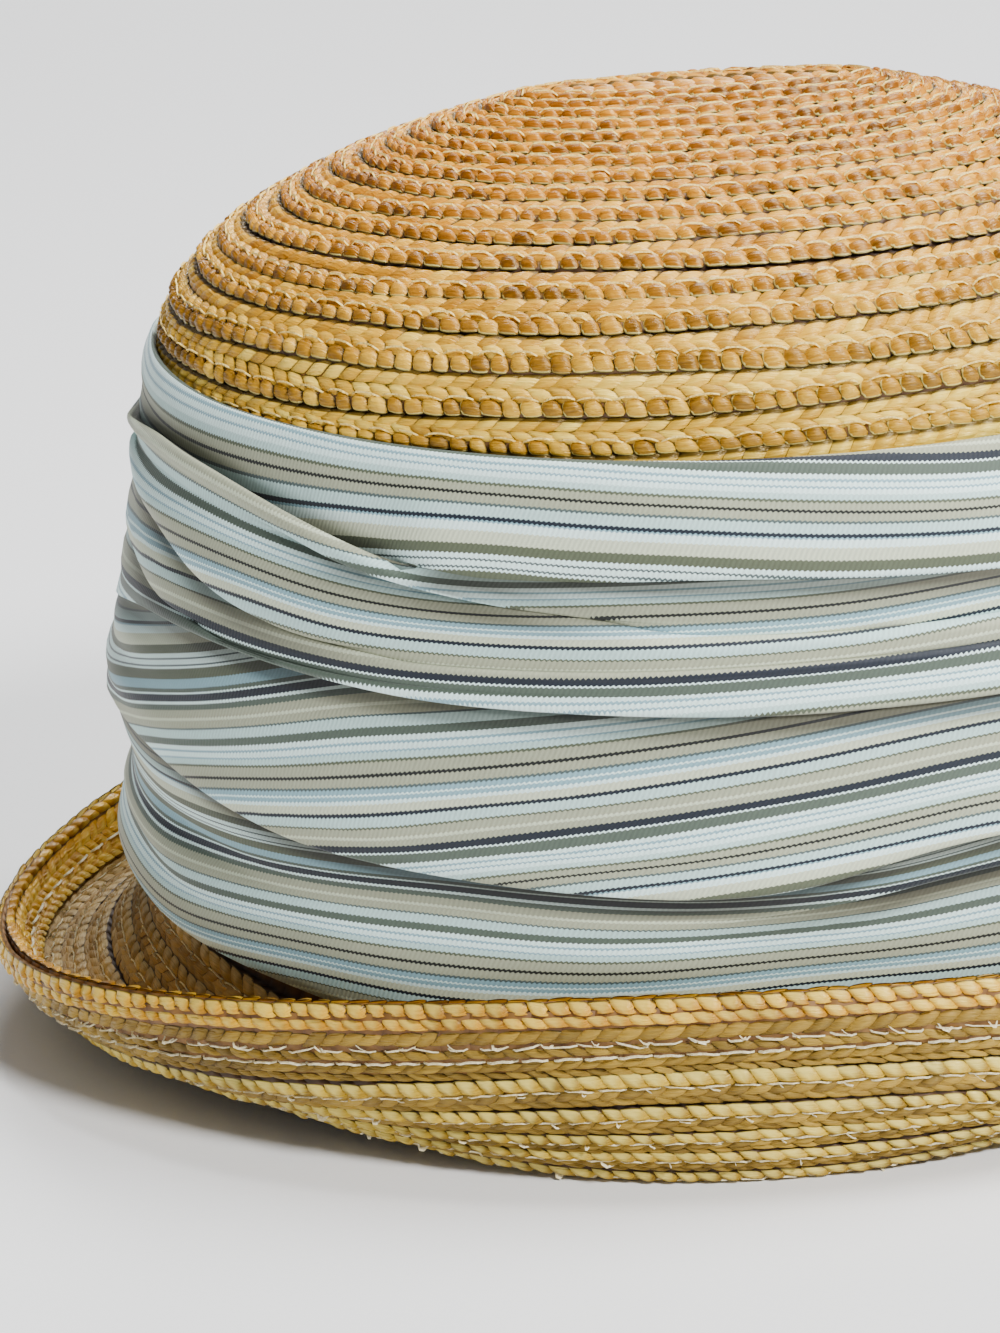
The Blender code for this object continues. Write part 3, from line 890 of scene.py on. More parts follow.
# %% Lay the finishing row
RIM_BEHIND = HALF_WALL + 0.3 * MM  # how far inside the brim's middle the finishing row begins
RIM_FACE = RIM_BEHIND + 1.8 * MM
RIM_LINES = [
    # place up the brim, side, lift off its middle, strand, finish, then length, width and thickness in mm
    (5.95, 1, HALF_WALL - 1.3 * MM, edge_strand, "orange_straw", 4.4, 2.3, 2.2),
    (5.71, 1, HALF_WALL - 0.2 * MM, edge_strand, "orange_straw", 4.4, 2.2, 1.5),
    (5.40, 1, HALF_WALL, rising_strand, "tan_straw", 4.3, 2.7, 0.9),
    (5.05, 1, HALF_WALL, falling_strand, "tan_straw", 4.3, 1.9, 1.0),
    (4.74, 1, HALF_WALL, rising_strand, "tan_straw", 4.3, 1.9, 0.9),
    (4.54, 1, HALF_WALL, falling_strand, "tan_straw", 4.3, 1.5, 0.7),
    (5.90, -1, RIM_FACE - 1.1 * MM, edge_strand, "orange_straw", 4.4, 2.3, 1.5),
    (5.62, -1, RIM_FACE - 0.6 * MM, rising_strand, "orange_straw", 3.5, 3.0, 0.5),
    (5.34, -1, RIM_FACE - 0.6 * MM, falling_strand, "orange_straw", 3.5, 3.0, 0.5),
    (5.06, -1, RIM_FACE - 0.6 * MM, rising_strand, "orange_straw", 3.5, 3.0, 0.5),
    (4.80, -1, RIM_FACE - 0.8 * MM, falling_strand, "orange_straw", 3.5, 2.6, 0.7),
]
PITCH_SHARE = 0.77  # of a strand's length, from one strand to the next
RIM_STITCHES = [
    # place, side, lift, shape, then pitch, length, width and thickness in mm, and looseness
    (5.24, 1, HALF_WALL + 0.5 * MM, thread_end, 7.9, 2.3, 0.30, 0.5, 0.45),
    (5.19, 1, HALF_WALL + 0.4 * MM, straight_stitch, 5.6, 4.4, 0.32, 0.4, 0.25),
    (4.88, 1, HALF_WALL + 0.6 * MM, stitch, 5.4, 4.9, 0.45, 0.45, 0.10),
    (5.22, -1, RIM_FACE - 0.25 * MM, straight_stitch, 5.4, 5.3, 0.50, 0.40, 0.10),
]


def rim_line(place, side, lift):
    """One closed line on the brim, as a row of its own whose width is given in metres."""
    out = side * normal_at(brim_at, place + 0 * TURNS, TURNS)
    return (brim_at(place + 0 * TURNS, TURNS) + out * lift)[None], out[None], np.ones((1, len(TURNS)))


def dress_rim():
    strands, sewn = [], []
    for seed, (*line, shape, finish, length, width, thickness) in enumerate(RIM_LINES, 41):
        strands.append(lay(rim_line(*line), shape, STRAWS[finish], length * PITCH_SHARE * MM,
                           length * MM, width * MM, thickness * MM, 0.09, seed))
    for seed, (*line, shape, pitch, length, width, thickness, loose) in enumerate(RIM_STITCHES, 61):
        sewn.append(lay(rim_line(*line), shape, thread_material, pitch * MM,
                        length * MM, width * MM, thickness * MM, loose, seed))
    add_piece(merged("rim_strands", strands), "rim_straw")
    add_piece(merged("rim_thread", sewn), "rim_straw")


def rim_shell():
    near, far = RIM_BEHIND, RIM_FACE - 0.8 * MM
    middle = (near + far) / 2
    foot, top = 4.70, BRIM_RIM - 0.02
    rows = [(foot, -near, 0.3), (5.4, -near, 0.0), (top - 0.1, -near, 0.6), (top, -middle, 0.6),
            (top - 0.1, -far, 0.6), (5.4, -far, 0.6), (foot, -far, 0.6), (foot - 0.04, -middle, 0.6)]
    return shell_mesh("rim_row_shell", brim_at, *zip(*rows))


add_piece(rim_shell(), "rim_straw", "rim_row")
dress_rim()

# %% [markdown]
# ## The sash
# The sash is a strip of fine cloth 14.5 cm wide. It is laid round the crown in long soft pleats that
# are gathered at the back. Simulated cloth would not fall into these pleats by itself, since a
# milliner's hand pins each one, so the folds are drawn instead. A fold line is a height round the hat.
# At a full fold the cloth above comes down to the line, rolls under, goes back up behind and comes
# down again as the next panel. Where a fold dies away its three layers open out into one smooth
# cloth. A fold can also be turned over, with the lower cloth on top.

# %% Chart the fold lines
SASH_TURNS = np.arange(256) / 256
FINE = np.arange(720) / 2.0


def around(points, soften=7.0):
    """Values given at some degrees round the hat, as a smooth closed line over the sash's columns."""
    degrees, values = zip(*points)
    line = np.interp(FINE, degrees, values, period=360)
    gap = np.minimum(FINE, 360 - FINE)
    weight = np.exp(-(gap / soften) ** 2)
    line = np.real(np.fft.ifft(np.fft.fft(line) * np.fft.fft(weight / weight.sum())))
    return np.interp(SASH_TURNS * 360, FINE, line, period=360)


# Heights in millimetres at degrees from the back, by way of the near side and the front
SASH_TOP = [(0, 122), (19, 121), (30, 119.6), (47, 118.6), (70, 117), (89, 115.8), (117, 114.9),
            (150, 114.3), (180, 114), (225, 115), (270, 116), (315, 118.5), (345, 121)]
SASH_FOOT = [(0, 32.5), (8, 33.5), (23, 30.8), (34, 29.4), (49, 26.8), (70, 21.5), (90, 18), (120, 24),
             (150, 29), (180, 30.5), (225, 26.8), (270, 17.5), (315, 26.8), (345, 31.5)]
FOOT_STAND = [(0, 8.4), (30, 8.2), (60, 5.4), (90, 3.4), (120, 5.0), (150, 7.5), (180, 8.0), (210, 7.5),
              (270, 3.4), (330, 8.0)]
FOLDS = {
    # name: heights, how far folded (below nought the lower cloth is on top), stand off the crown
    "upper": (
        [(2, 108.2), (14, 111), (25, 111.9), (37, 110), (49, 105.2), (55, 102.2), (60, 100.2), (66, 99.0),
         (75, 99.2), (92, 99.3), (106, 97.2), (115, 96), (135, 94.8), (180, 95), (225, 98), (270, 100),
         (315, 103.5), (345, 107)],
        [(0, -1), (59, -1), (63, 1), (300, 1), (322, 0.3), (338, -0.4), (352, -1)],
        [(0, 2.9), (25, 3.2), (50, 3.8), (180, 3.6), (270, 3.6), (335, 3.0)]),
    "upper_tuck": (
        [(0, 105.5), (10, 107), (25, 108), (35, 106.3), (46, 102.8), (59, 97.9), (77, 93), (84, 91.3),
         (100, 90), (180, 88), (270, 90), (345, 98)],
        [(0, 0), (42, 0), (54, 0.8), (70, 0.8), (86, 0), (345, 0)],
        [(0, 2.9), (25, 3.6), (60, 5.2), (90, 5.8), (180, 5.6), (270, 5.6), (330, 4.2)]),
    "left_crease": (
        [(0, 104.0), (8, 104.5), (15, 102.9), (20, 100.7), (26, 97.2), (31, 93.9), (36, 91.4), (41, 89.7),
         (45, 88.4), (49, 86.9), (53, 86.1), (70, 85.6), (100, 85.5), (180, 84), (270, 85), (330, 92),
         (350, 101)],
        [(0, 0.3), (8, 1), (40, 0.9), (52, 0.4), (62, 0), (352, 0)],
        [(0, 2.5), (15, 3.0), (30, 4.6), (60, 7.4), (90, 8.4), (180, 8.2), (270, 8.2), (330, 5.2)]),
    "back_crease": (
        [(0, 93), (8, 92.4), (14, 90.6), (18, 88.7), (22, 87.2), (26, 85.9), (30, 84.9), (45, 83.4),
         (60, 82.4), (90, 81.6), (180, 80.8), (270, 80.6), (345, 88)],
        [(0, 0.2), (7, 0.9), (26, 0.8), (38, 0), (352, 0)],
        [(0, 2.6), (15, 4.0), (25, 5.6), (35, 6.6), (60, 8.4), (90, 9.2), (180, 9), (270, 9), (330, 5.8)]),
    "middle": (
        [(3, 76.2), (10, 79.4), (23, 83.0), (33, 83.4), (42, 82.8), (51, 81.4), (62, 79.8), (79, 78.7),
         (96, 77.3), (114, 76.8), (135, 76.5), (180, 76.5), (225, 76), (270, 76), (315, 77), (345, 75.8)],
        [(0, 0.9), (180, 1)],
        [(0, 4.6), (20, 5.4), (33, 5.8), (48, 7.4), (90, 8.2), (180, 8), (270, 8), (340, 5.6)]),
    "lower": (
        [(0, 59.5), (12, 62.5), (26, 61.2), (37, 57.3), (49, 53.2), (60, 51.6), (78, 48.7), (87, 47.6),
         (95, 48.4), (100, 50.6), (106, 54.0), (113, 54.7), (135, 55), (180, 53), (225, 53), (270, 50),
         (315, 53), (345, 57)],
        [(0, 1), (180, 1)],
        [(0, 7.2), (20, 7.0), (50, 7.3), (90, 7.6), (180, 7.4), (270, 7.4), (330, 7.2)]),
    "front_tuck": (
        [(0, 48), (30, 46), (50, 43.8), (70, 43), (85, 43), (92, 43.4), (97, 44.6), (102, 46.2),
         (106, 47.4), (114, 48.6), (135, 48.8), (180, 46), (225, 45), (270, 42), (330, 45.5)],
        [(0, 0), (86, 0), (95, 0.5), (103, 1), (200, 1), (250, 0), (345, 0)],
        [(0, 5.6), (50, 5.8), (90, 5.6), (180, 5.6), (270, 5.4)]),
}

# Soft valleys between folds: heights, depth, and half width, in millimetres
VALLEYS = [
    ([(60, 41), (81, 40.4), (91, 40.6), (99, 41.6), (105, 43.2), (113, 43.8), (135, 43.5), (180, 41),
      (300, 41)], [(0, 0), (70, 0), (84, 1.1), (115, 1.1), (150, 0.5), (180, 0)], 1.8),
    ([(0, 42), (11, 40.8), (20, 39.8), (25, 38.0), (40, 36), (320, 42)],
     [(0, 0.9), (24, 1.0), (40, 0), (340, 0.3)], 1.5),
    ([(0, 52), (16, 52), (30, 47.5), (42, 46.8), (60, 46), (320, 52)],
     [(0, 2.0), (14, 1.6), (38, 0.9), (55, 0), (325, 0)], 3.2),
    ([(0, 70), (9, 70.0), (24, 74.2), (34, 77.5), (60, 76), (320, 70)],
     [(0, 0.7), (24, 0.6), (45, 0), (330, 0.3)], 1.8),
    ([(0, 113), (12, 113.9), (19, 113.1), (25, 111.9), (60, 108), (320, 113)],
     [(0, 0.8), (22, 0.7), (34, 0), (340, 0.3)], 1.5),
    ([(0, 60), (60, 63), (100, 61), (160, 66), (180, 66), (270, 62)],
     [(0, 0), (70, 0.4), (110, 0.7), (160, 0.3), (200, 0)], 3.0),
]


# %% [markdown]
# The stripes run along the strip, so each panel needs to know which part of the cloth it shows. A few
# stripes are followed round the hat in each panel. Their heights there and their places on the cloth
# fix where every other stripe goes, so the stripes fan out and close up as the pleats do.

# %% Chart where the stripes run
STRIPE_LINES = {
    # panel: places on the cloth in millimetres, each with its heights round the hat
    "top": [
        (30.45, [(0, 115.5), (14, 113.9), (40, 112.8), (60, 112.3), (74, 111.6), (88, 109.8),
                 (102, 107.4), (116, 105), (135, 104.5), (180, 104), (225, 106), (270, 107), (315, 110),
                 (345, 114.5)]),
        (33.8, [(0, 109.5), (43, 107.9), (55, 108.6), (70, 108.4), (88, 106.3), (102, 103.8),
                (116, 101.6), (135, 101), (180, 100.5), (225, 102.5), (270, 103.5), (315, 106),
                (345, 109.5)])],
    "second": [
        (2.5, [(0, 111), (14, 111.8), (25, 112), (37, 110), (43, 107.8), (49, 105.4), (55, 103),
               (62, 101.6), (75, 101.6), (100, 102.3), (115, 102.5), (180, 101), (225, 102), (270, 103),
               (315, 105), (345, 109)]),
        (7.0, [(0, 106), (14, 106.4), (21, 105.4), (34, 104.3), (43, 102.2), (52, 100.2), (57, 99.2),
               (62, 98.2), (70, 97.8), (80, 98.4), (88, 98.8), (100, 98.8), (115, 99), (135, 99), (180, 97),
               (225, 98), (270, 99), (315, 101), (345, 103.5)]),
        (17.9, [(0, 89), (22, 91.3), (42, 91.9), (55, 89.2), (70, 88.5), (88, 88.2), (101, 88.2),
                (115, 89.8), (135, 90), (180, 88), (225, 88.5), (270, 89), (315, 91), (345, 89)]),
        (23.1, [(0, 83), (30, 85.9), (49, 84.2), (60, 83.2), (75, 83), (88, 83.2), (101, 83.3), (114, 84),
                (135, 84), (180, 82.5), (225, 83), (270, 83.5), (315, 84.5), (345, 83)])],
    "third": [
        (12.55, [(0, 48.5), (11, 51), (20, 54), (37, 60), (56, 66.4), (70, 70.3), (83, 73), (96, 75.5),
                 (103, 76.8), (115, 78), (135, 76), (180, 70), (225, 66), (270, 62), (315, 56), (345, 50)]),
        (23.1, [(0, 37), (37, 49), (58, 54.2), (70, 58.5), (79, 61.0), (91, 63.8), (104, 66.5), (113, 67.6),
                (135, 65), (180, 59.5), (225, 55.5), (270, 51.5), (315, 45), (345, 39)])],
    "bottom": [
        (0.0, [(0, 48), (25, 44.6), (47, 46.8), (64, 48.2), (78, 46.8), (87, 46.2), (103, 46.5), (115, 49),
               (135, 49), (180, 47), (225, 46), (270, 45), (315, 45), (345, 47.5)]),
        (12.55, [(0, 36.5), (29, 33.4), (48, 35.6), (69, 35.8), (78, 35.9), (95, 37.4), (113, 37.5),
                 (135, 36), (180, 35), (225, 34), (270, 33), (315, 33.5), (345, 35.5)])],
}
STRIPE_KEYS = {panel: [(place, around(line, 5.0)) for place, line in keys]
               for panel, keys in STRIPE_LINES.items()}


def cloth_place(panel, height):
    """Place across the cloth, in millimetres, of a height on a panel: straight lines from key to key."""
    keys = STRIPE_KEYS[panel]
    found = None
    for (upper, upper_line), (lower, lower_line) in zip(keys, keys[1:]):
        place = upper + (upper_line - height) * (lower - upper) / (upper_line - lower_line)
        found = place if found is None else np.where(height < upper_line, place, found)
    return found


# %% [markdown]
# The cloth is then paced out ring by ring. A ring holds, for every column round the hat, a height, a
# stand off the crown, a place across the cloth and a painted shade. A panel's rings go down with a soft
# swell and lie closer near its top. The painted shade is the shadow that a fold over or under the panel
# would cast on it, painted into the cloth's colour: a dark core beside the fold and a soft rim beyond it.

# %% Pace down a panel
SHADE_START, SHADE_CORE, SHADE_RIM = 2.3, 1.4, 4.4  # millimetres from the fold line
SHADE_UNDER = 0.7  # how dark the shade is on the cloth that rises to a fold, beside one that hangs down


def eased(share):
    share = np.clip(share, 0, 1)
    return share * share * (3 - 2 * share)


def fold_shade(distance):
    distance = np.maximum(distance - SHADE_START, 0)
    return 0.62 * np.exp(-(distance / SHADE_CORE) ** 2) + 0.38 * np.exp(-distance / SHADE_RIM)


def panel_rings(name, high, low, swell, count, shade_above, shade_below):
    """Rings between two lines of height and stand. A shade names the fold that paints shade on the panel:
    its height and how far it is folded.
    """
    rings = []
    for share in np.linspace(0, 1, count) ** 1.35:
        height = high[0] + (low[0] - high[0]) * share
        stand = high[1] + (low[1] - high[1]) * share + swell * 4 * share * (1 - share)
        shade = shade_above[1] * fold_shade(shade_above[0] - height)
        under = shade_below[1] * SHADE_UNDER * fold_shade(height - shade_below[0] + 1.0)
        rings.append((height, stand, cloth_place(name, height), np.maximum(shade, under)))
    return rings


# %% [markdown]
# A fold takes eight rings. The first ones roll the cloth under and back, the middle ones climb behind
# to the next panel's start, and the last ones roll it forward again. The stripes keep running through
# both rolls and jump between them, where nothing can be seen. How far the cloth is folded blends all
# this with a plain smooth run from panel to panel.

# %% Roll through a fold
FOLD_DEPTH = 3.6  # how far up behind the cloth goes, in millimetres, as all sizes of a fold are
FOLD_STEP = 2.7  # how much farther off the crown the upper layer stands than the lower
FOLD_ROLL = 0.55  # how far a roll bulges past its line
FOLD_EASE = 1.2  # how far from its line an unfolded fold starts and ends
ROLL_CLOTH = 1.4  # how much cloth goes into one roll
ROLL_SHARE = 0.42  # of the fold's rings, in each roll


def fold_rings(fold, stand, from_place, to_place, start, end):
    """Rings through one fold, from the panel above it to the panel below."""
    size = np.abs(fold)
    outer, inner = stand + fold * FOLD_STEP / 2, stand - fold * FOLD_STEP / 2
    under = 0.5 + 0.26 * fold
    rings = []
    for q in (0.11, 0.22, 0.33, 0.44, 0.56, 0.67, 0.78, 0.89):
        share = q * (1 - size) + eased((q - 0.22) / 0.56) * size
        moved = q * (1 - size) + eased((q - ROLL_SHARE) / 0.34) * size
        dip = np.sin(np.pi * np.clip(q / 0.4, 0, 1)) - np.sin(np.pi * np.clip((q - 0.6) / 0.4, 0, 1))
        across = under * eased(q / 0.4) + (1 - under) * eased((q - 0.6) / 0.4)
        first, last = np.clip(q / ROLL_SHARE, 0, 1), np.clip((1 - q) / ROLL_SHARE, 0, 1)
        rolled = ROLL_CLOTH * size * (first * (1 - moved) - last * moved)
        # the last number is the painted shade, full over the rolled cloth past the first ring
        rings.append((start + (end - start) * share - FOLD_ROLL * fold * dip,
                      outer + (inner - outer) * across,
                      from_place + (to_place - from_place) * moved + rolled,
                      size * (q > 0.2)))
    return rings


# %% [markdown]
# Panels and folds follow each other from the top hem to the bottom hem. Both edges are turned in, as
# hems are. Where a fold dies away the two panels beside it are one, so they share one chart of stripes.

# %% Pace out the whole cloth
# fold, then the chart, the swell and the number of rings of the panel above it
FOLD_ORDER = [("upper", "top", 0.6, 12), ("upper_tuck", "second", 0.6, 7), ("left_crease", "second", 0.7, 8),
              ("back_crease", "second", 0.6, 7), ("middle", "second", 0.3, 8), ("lower", "third", 1.9, 18),
              ("front_tuck", "bottom", 1.0, 9)]
CHARTS = [chart for _, chart, _, _ in FOLD_ORDER] + ["bottom"]
BOTTOM_SWELL, BOTTOM_RINGS = 0.8, 14
TOP_STAND = 2.0
HEM = 6.0
TOP_HEM = [(-HEM, 0.9), (-HEM / 2, 0.9), (-0.5, 0.8), (-0.1, 0.5), (0.1, 0.2)]  # rise, and how far in
BOTTOM_HEM = [(-0.1, 0.25), (0.2, 0.7), (HEM / 2, 1.0), (HEM, 1.1)]
SOFTEN = (5.0, 2.6, 9.0)  # degrees over which heights, folding and stands are smoothed


def sash_rings():
    """Height, stand off the crown, place across the cloth and painted shade, ring by ring from hem to hem.
    """
    lines = {name: [around(part, soften) for part, soften in zip(parts, SOFTEN)]
             for name, parts in FOLDS.items()}
    top, foot, foot_stand = around(SASH_TOP), around(SASH_FOOT), around(FOOT_STAND)
    none = 0 * top
    rings = [(top + rise, TOP_STAND - back + none, cloth_place("top", top) - 1.0, none)
             for rise, back in TOP_HEM]
    high, above = (top - 0.2, TOP_STAND + none), (top, none)
    for i, (name, chart, swell, count) in enumerate(FOLD_ORDER):
        height, fold, stand = lines[name]
        up, down = np.maximum(fold, 0), np.maximum(-fold, 0)
        start = height + FOLD_EASE * (1 - up) - (FOLD_DEPTH + FOLD_EASE) * down
        end = height - FOLD_EASE * (1 - down) + (FOLD_DEPTH + FOLD_EASE) * up
        rings += panel_rings(chart, high, (start, stand + fold * FOLD_STEP / 2), swell, count, above,
                             (height, down))
        places = cloth_place(chart, start), cloth_place(CHARTS[i + 1], end)
        rings += fold_rings(fold, stand, *places, start, end)
        high, above = (end, stand - fold * FOLD_STEP / 2), (height, up)
    rings += panel_rings("bottom", high, (foot, foot_stand), BOTTOM_SWELL, BOTTOM_RINGS, above, (foot, none))
    rings += [(foot + rise, foot_stand - back, cloth_place("bottom", foot) + 0.5, none)
              for rise, back in BOTTOM_HEM]
    return [np.array(part) for part in zip(*rings)]


# %% [markdown]
# The fold lines were read from the photograph as if the sash was a plain bulging drum. A fold that
# stands farther off the crown than the drum looks lower than it is, so its height is moved to be seen
# where it was read. Small swells and the valleys then keep the cloth from looking pressed.

# %% Skin the cloth
# the drum on which the lines were read: its heights, and how far it stands off the crown
READING_DRUM = [(20, 8.2), (33, 8.0), (47, 3.8), (57, 9.4), (66, 9.2), (81, 5.6), (92, 5.0), (106, 4.6),
                (116, 1.8), (125, 1.8)]
LOOK_DOWN = 0.344  # how much lower a place is seen for each millimetre that it stands nearer to us
SWELLS = [(0.26, 0.10, 5, 0.3), (0.20, -0.16, 9, 1.9), (0.12, 0.25, 14, 4.0)]  # size, lean, count, phase
GATHER = 12  # degrees, where the back pulls the cloth together into small waves
LEAST_STAND = 0.75
ROUND_SASH = 630.7  # millimetres of cloth in one turn


def soft_creases(heights, degrees):
    """Small uneven swells of hand-laid cloth and its soft valleys, in millimetres."""
    waves = np.zeros_like(heights)
    for size, lean, count, phase in SWELLS:
        waves += size * np.sin(np.radians(degrees) * count + heights * lean + phase)
    pull = np.exp(-(np.minimum(np.abs(degrees - GATHER), np.abs(degrees - GATHER - 360)) / 20) ** 2)
    waves += 0.35 * pull * np.sin(heights * 0.75 + degrees * 0.05)
    for line, depth, width in VALLEYS:
        waves -= around(depth) * np.exp(-((heights - around(line)) / width) ** 2)
    return waves


def seen_heights(heights, stands):
    drum = np.interp(heights, *zip(*READING_DRUM))
    return heights + LOOK_DOWN * np.abs(np.sin(SASH_TURNS * 2 * np.pi)) * (stands - drum)


def make_sash():
    heights, stands, places, shades = sash_rings()
    heights = seen_heights(heights, stands)
    stands = stands + soft_creases(heights, SASH_TURNS[None] * 360) * np.clip((stands - 1.2) / 2.5, 0, 1)
    stands = np.maximum(stands, LEAST_STAND)
    turns = np.broadcast_to(SASH_TURNS, heights.shape)
    spots = lifted(crown_at, crown_place(heights * MM), turns, stands * MM)
    count, columns = heights.shape
    index = np.arange(count * columns).reshape(count, columns)
    quads = np.stack([index[:-1], index[1:], np.roll(index[1:], -1, 1), np.roll(index[:-1], -1, 1)], -1)
    mesh = bpy.data.meshes.new("sash_cloth")
    mesh.from_pydata(spots.reshape(-1, 3).tolist(), [], quads.reshape(-1, 4).tolist())
    write_values(mesh, "stripe", places)
    # the painted shade of the folds, which darkens the cloth's colour
    write_values(mesh, "shade", shades)
    mark_run(mesh, "run", columns, ROUND_SASH)
    mesh.shade_smooth()
    print("sash spans", *(np.round(edge(spots.reshape(-1, 3), axis=0) / MM, 1) for edge in (np.min, np.max)))
    return mesh


# %% [markdown]
# The cloth is a fine cotton and silk rep: warp stripes of pale blue, sage, beige and navy, from hair
# lines to bands, crossed by fine ribs. The stripes are listed with their widths, and two
# stepped colour ramps hold them, since one ramp has room for 32.

# %% List the stripes
BLUE, PALE, WHITE = tint(138, 178, 190), tint(188, 219, 215), tint(226, 252, 248)
BEIGE, CREAM, SAGE = tint(164, 168, 142), tint(204, 212, 184), tint(78, 92, 80)
OLIVE, GREY, NAVY, BLACK = tint(84, 92, 70), tint(76, 92, 92), tint(6, 20, 36), tint(6, 10, 8)
STRIPES = [
    # width in millimetres and colour, from the middle of the navy band down the cloth
    (0.6, NAVY), (0.4, WHITE), (0.9, SAGE), (1.2, BEIGE), (0.5, CREAM), (1.1, BEIGE), (0.3, GREY),
    (1.4, PALE), (1.2, SAGE), (0.7, WHITE), (0.3, BLUE), (0.8, WHITE), (0.3, BLUE), (0.9, PALE),
    (0.3, OLIVE), (1.5, BEIGE), (0.45, BLACK), (1.3, BEIGE), (0.3, GREY), (0.7, BLUE), (0.3, WHITE),
    (0.6, BLUE), (0.5, WHITE), (1.2, CREAM), (0.5, NAVY), (1.4, PALE), (0.3, OLIVE), (1.2, BEIGE),
    (0.5, CREAM), (1.0, BEIGE), (1.05, NAVY), (0.3, WHITE), (1.5, SAGE), (0.7, WHITE), (0.3, BLUE),
    (0.7, WHITE), (0.3, BLUE), (0.7, WHITE), (0.85, PALE), (0.3, OLIVE), (1.05, BEIGE), (0.35, BLACK),
    (1.15, BEIGE), (0.3, GREY), (1.5, PALE), (0.5, NAVY), (0.35, BLUE), (1.15, WHITE), (1.8, CREAM),
    (1.5, OLIVE), (0.7, WHITE), (0.3, GREY), (0.8, WHITE), (0.3, GREY), (0.4, WHITE), (1.6, OLIVE),
    (1.5, BLUE), (0.6, SAGE), (0.3, WHITE), (0.6, NAVY),
]
CLOTH_REPEAT = sum(width for width, _ in STRIPES)


def stripe_ramps(finish, share):
    """The stripes' colour at a share of their repeat, from two ramps that each hold half of them."""
    starts = np.concatenate([[0.0], np.cumsum([width for width, _ in STRIPES])[:-1]]) / CLOTH_REPEAT
    half = len(STRIPES) // 2
    split = float(starts[half])
    ramps = []
    for first, last, low, high in ((0, half, 0.0, split), (half, len(STRIPES), split, 1.0)):
        stops = [((starts[i] - low) / (high - low), STRIPES[i][1]) for i in range(first, last)]
        inside = (share - low) / (high - low)
        settings = {"stepped": True, "stops": stops}
        ramps.append(finish.node("ShaderNodeValToRGB", settings, {"Fac": inside}, "Color"))
    return finish.mix(share.math("GREATER_THAN", split), ramps[0], ramps[1])


print("the stripes repeat every", round(CLOTH_REPEAT, 1), "mm")

# %% [markdown]
# The ribs slant across the stripes and nudge the edge of each stripe to and fro, save in the shade of
# a fold. They also lighten and darken the cloth and stand out of it as a bump. The thin sheet then
# gets its thickness from a Solidify.

# %% Colour the cloth
RIB = 0.83  # millimetres from one rib of the cloth to the next
SHADE_COLOUR = (0.10, 0.08, 0.06, 1.0)
CLOTH_WALL = 0.3 * MM


def cloth_finish():
    finish = Finish("striped_cloth")
    across, run = finish.attribute("stripe"), finish.attribute("run")
    shade = finish.attribute("shade")
    rib = ((run + across * 0.5) * (1 / RIB)).math("PINGPONG", 0.5) * 2.0
    grain = finish.noise(finish.vector(run * 0.35, across * 6.0, 0.0), 1.0, 2.0)
    nudged = across + ((rib - 0.5) * 0.24 + (grain - 0.5) * 0.10) * (1.0 - shade)
    colour = stripe_ramps(finish, (nudged / CLOTH_REPEAT).math("FRACT"))
    mottle = finish.noise(finish.place(), 26.0, 3.0)
    weft = finish.noise(finish.vector(run * 2.3, across * 1.1, 3.0), 1.0, 1.0)
    light = mottle * 0.16 + rib * 0.20 + weft * 0.20 + 0.70
    colour = finish.mix(1.0, colour, finish.vector(light, light, light), "MULTIPLY")
    # painted shade: the colour is darkened where a fold would shadow the cloth
    colour = finish.mix(shade * 0.92, colour, finish.mix(1.0, colour, SHADE_COLOUR, "MULTIPLY"))
    relief = finish.bump(rib * 0.7 + grain * 0.3, 0.00012, 0.5)
    return finish.wear(Base_Color=colour, Roughness=0.55 + grain * 0.2, Normal=relief,
                       Sheen_Weight=0.25, Sheen_Roughness=0.4)


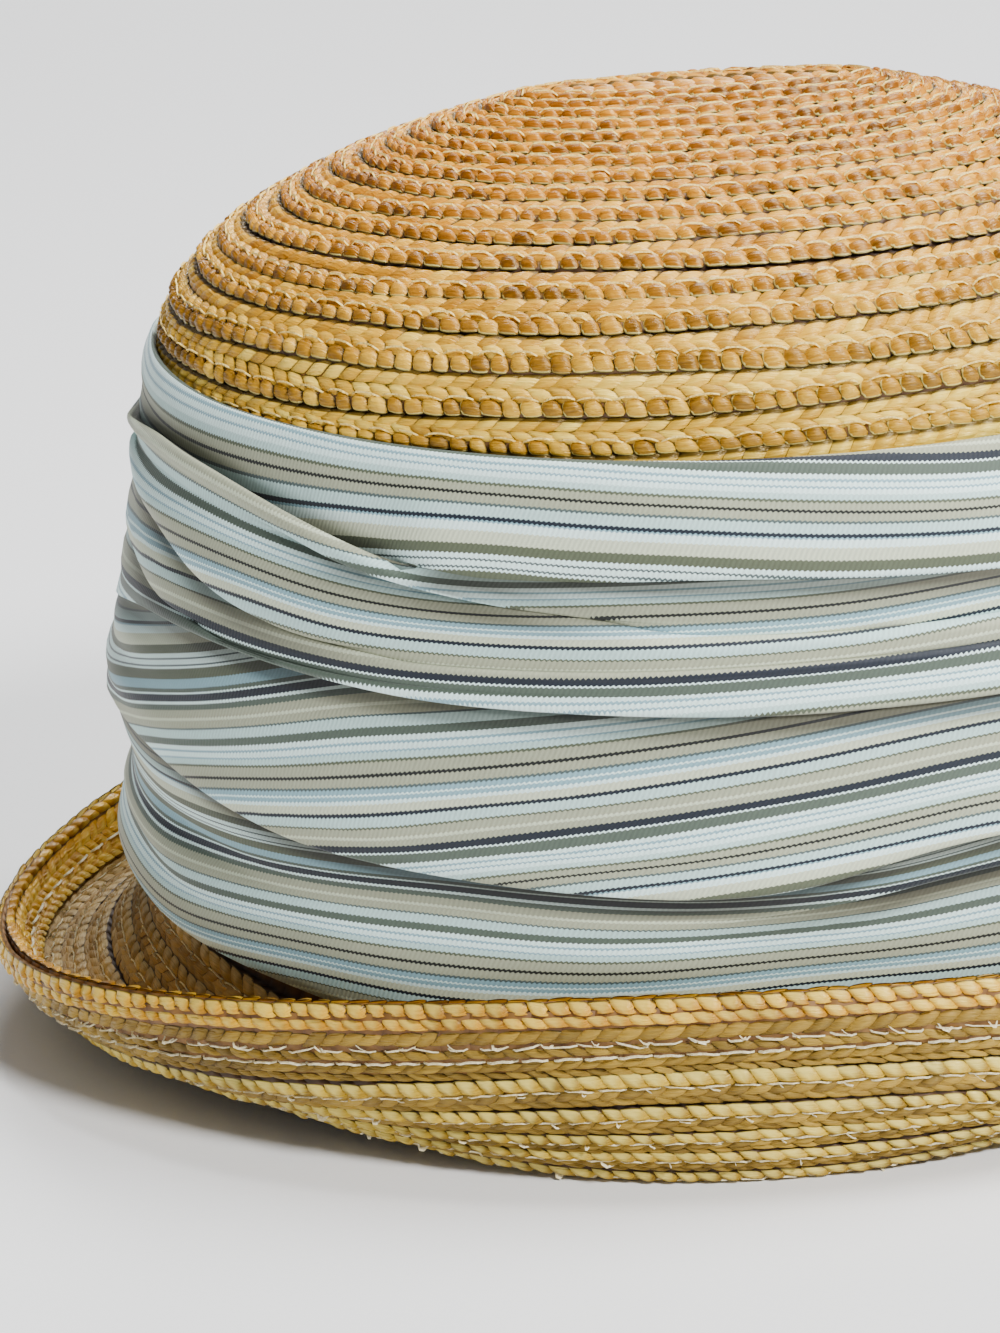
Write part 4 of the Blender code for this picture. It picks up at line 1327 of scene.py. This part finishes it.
def finish_sash():
    sash = put("sash_cloth", make_sash())
    sash.data.materials.append(cloth_finish())
    wall = sash.modifiers.new("thickness", "SOLIDIFY")
    wall.thickness = CLOTH_WALL
    wall.offset = 1.0
    graph = bpy.context.evaluated_depsgraph_get()
    sash.data = bpy.data.meshes.new_from_object(sash.evaluated_get(graph), depsgraph=graph)
    sash.modifiers.clear()
    check = bmesh.new()
    check.from_mesh(sash.data)
    print("sash_cloth has", count_triangles(sash.data), "triangles and a volume of",
          round(check.calc_volume(signed=True) * 1e6, 2), "cubic centimetres")
    check.free()
    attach(sash, "root")
    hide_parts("sash")


finish_sash()

# %% [markdown]
# ## Light and floor
# The photograph is softly lit, brightest on the near right, over a pale ground. The key lamp stands
# to the right of the camera and a wider one hangs above. A third lights the ground far behind the
# hat, which would fall off to grey. The floor is a plain pale sheet, which is no part of the hat.

# %% Set the stage
MIDDLE = (0.0, 0.0, 0.08)
LAMPS = [
    # name, place, what it looks at, size in metres, power in watts
    ("key", (0.85, -1.0, 1.20), MIDDLE, 0.40, 41.0),
    ("above", (0.55, 0.15, 1.6), MIDDLE, 0.7, 36.0),
    ("behind", (0.2, 2.9, 2.2), (0.0, 2.7, 0.0), 1.6, 102.0),
]
ROOM_STRENGTH = 0.27
FLOOR_CORNERS = [(-4, -3, 0), (4, -3, 0), (4, 7, 0), (-4, 7, 0)]


def add_lamp(name, place, target, size, power):
    data = bpy.data.lights.new(name, "AREA")
    data.shape = "DISK"
    data.size = size
    data.energy = power
    lamp = put(name, data)
    lamp.location = place
    lamp.rotation_euler = (Vector(target) - Vector(place)).to_track_quat("-Z", "Y").to_euler()


def make_floor():
    finish = Finish("floor_paper")
    grain = finish.noise(finish.place(), 900.0, 2.0)
    colour = finish.ramp(grain, [(0.0, tint(244, 244, 244)), (1.0, tint(248, 248, 248))])
    mesh = bpy.data.meshes.new("floor")
    mesh.from_pydata(FLOOR_CORNERS, [], [(0, 1, 2, 3)])
    mesh.materials.append(finish.wear(Base_Color=colour, Roughness=0.9))
    floor = put("floor", mesh)


def make_world():
    world = bpy.data.worlds.new("soft_room")
    world.use_nodes = True
    background = world.node_tree.nodes["Background"]
    background.inputs["Color"].default_value = (*tint(238, 242, 246), 1.0)
    background.inputs["Strength"].default_value = ROOM_STRENGTH
    bpy.context.scene.world = world


make_floor()
make_world()
for lamp in LAMPS:
    add_lamp(*lamp)
print("lamps:", [name for name, *_ in LAMPS])
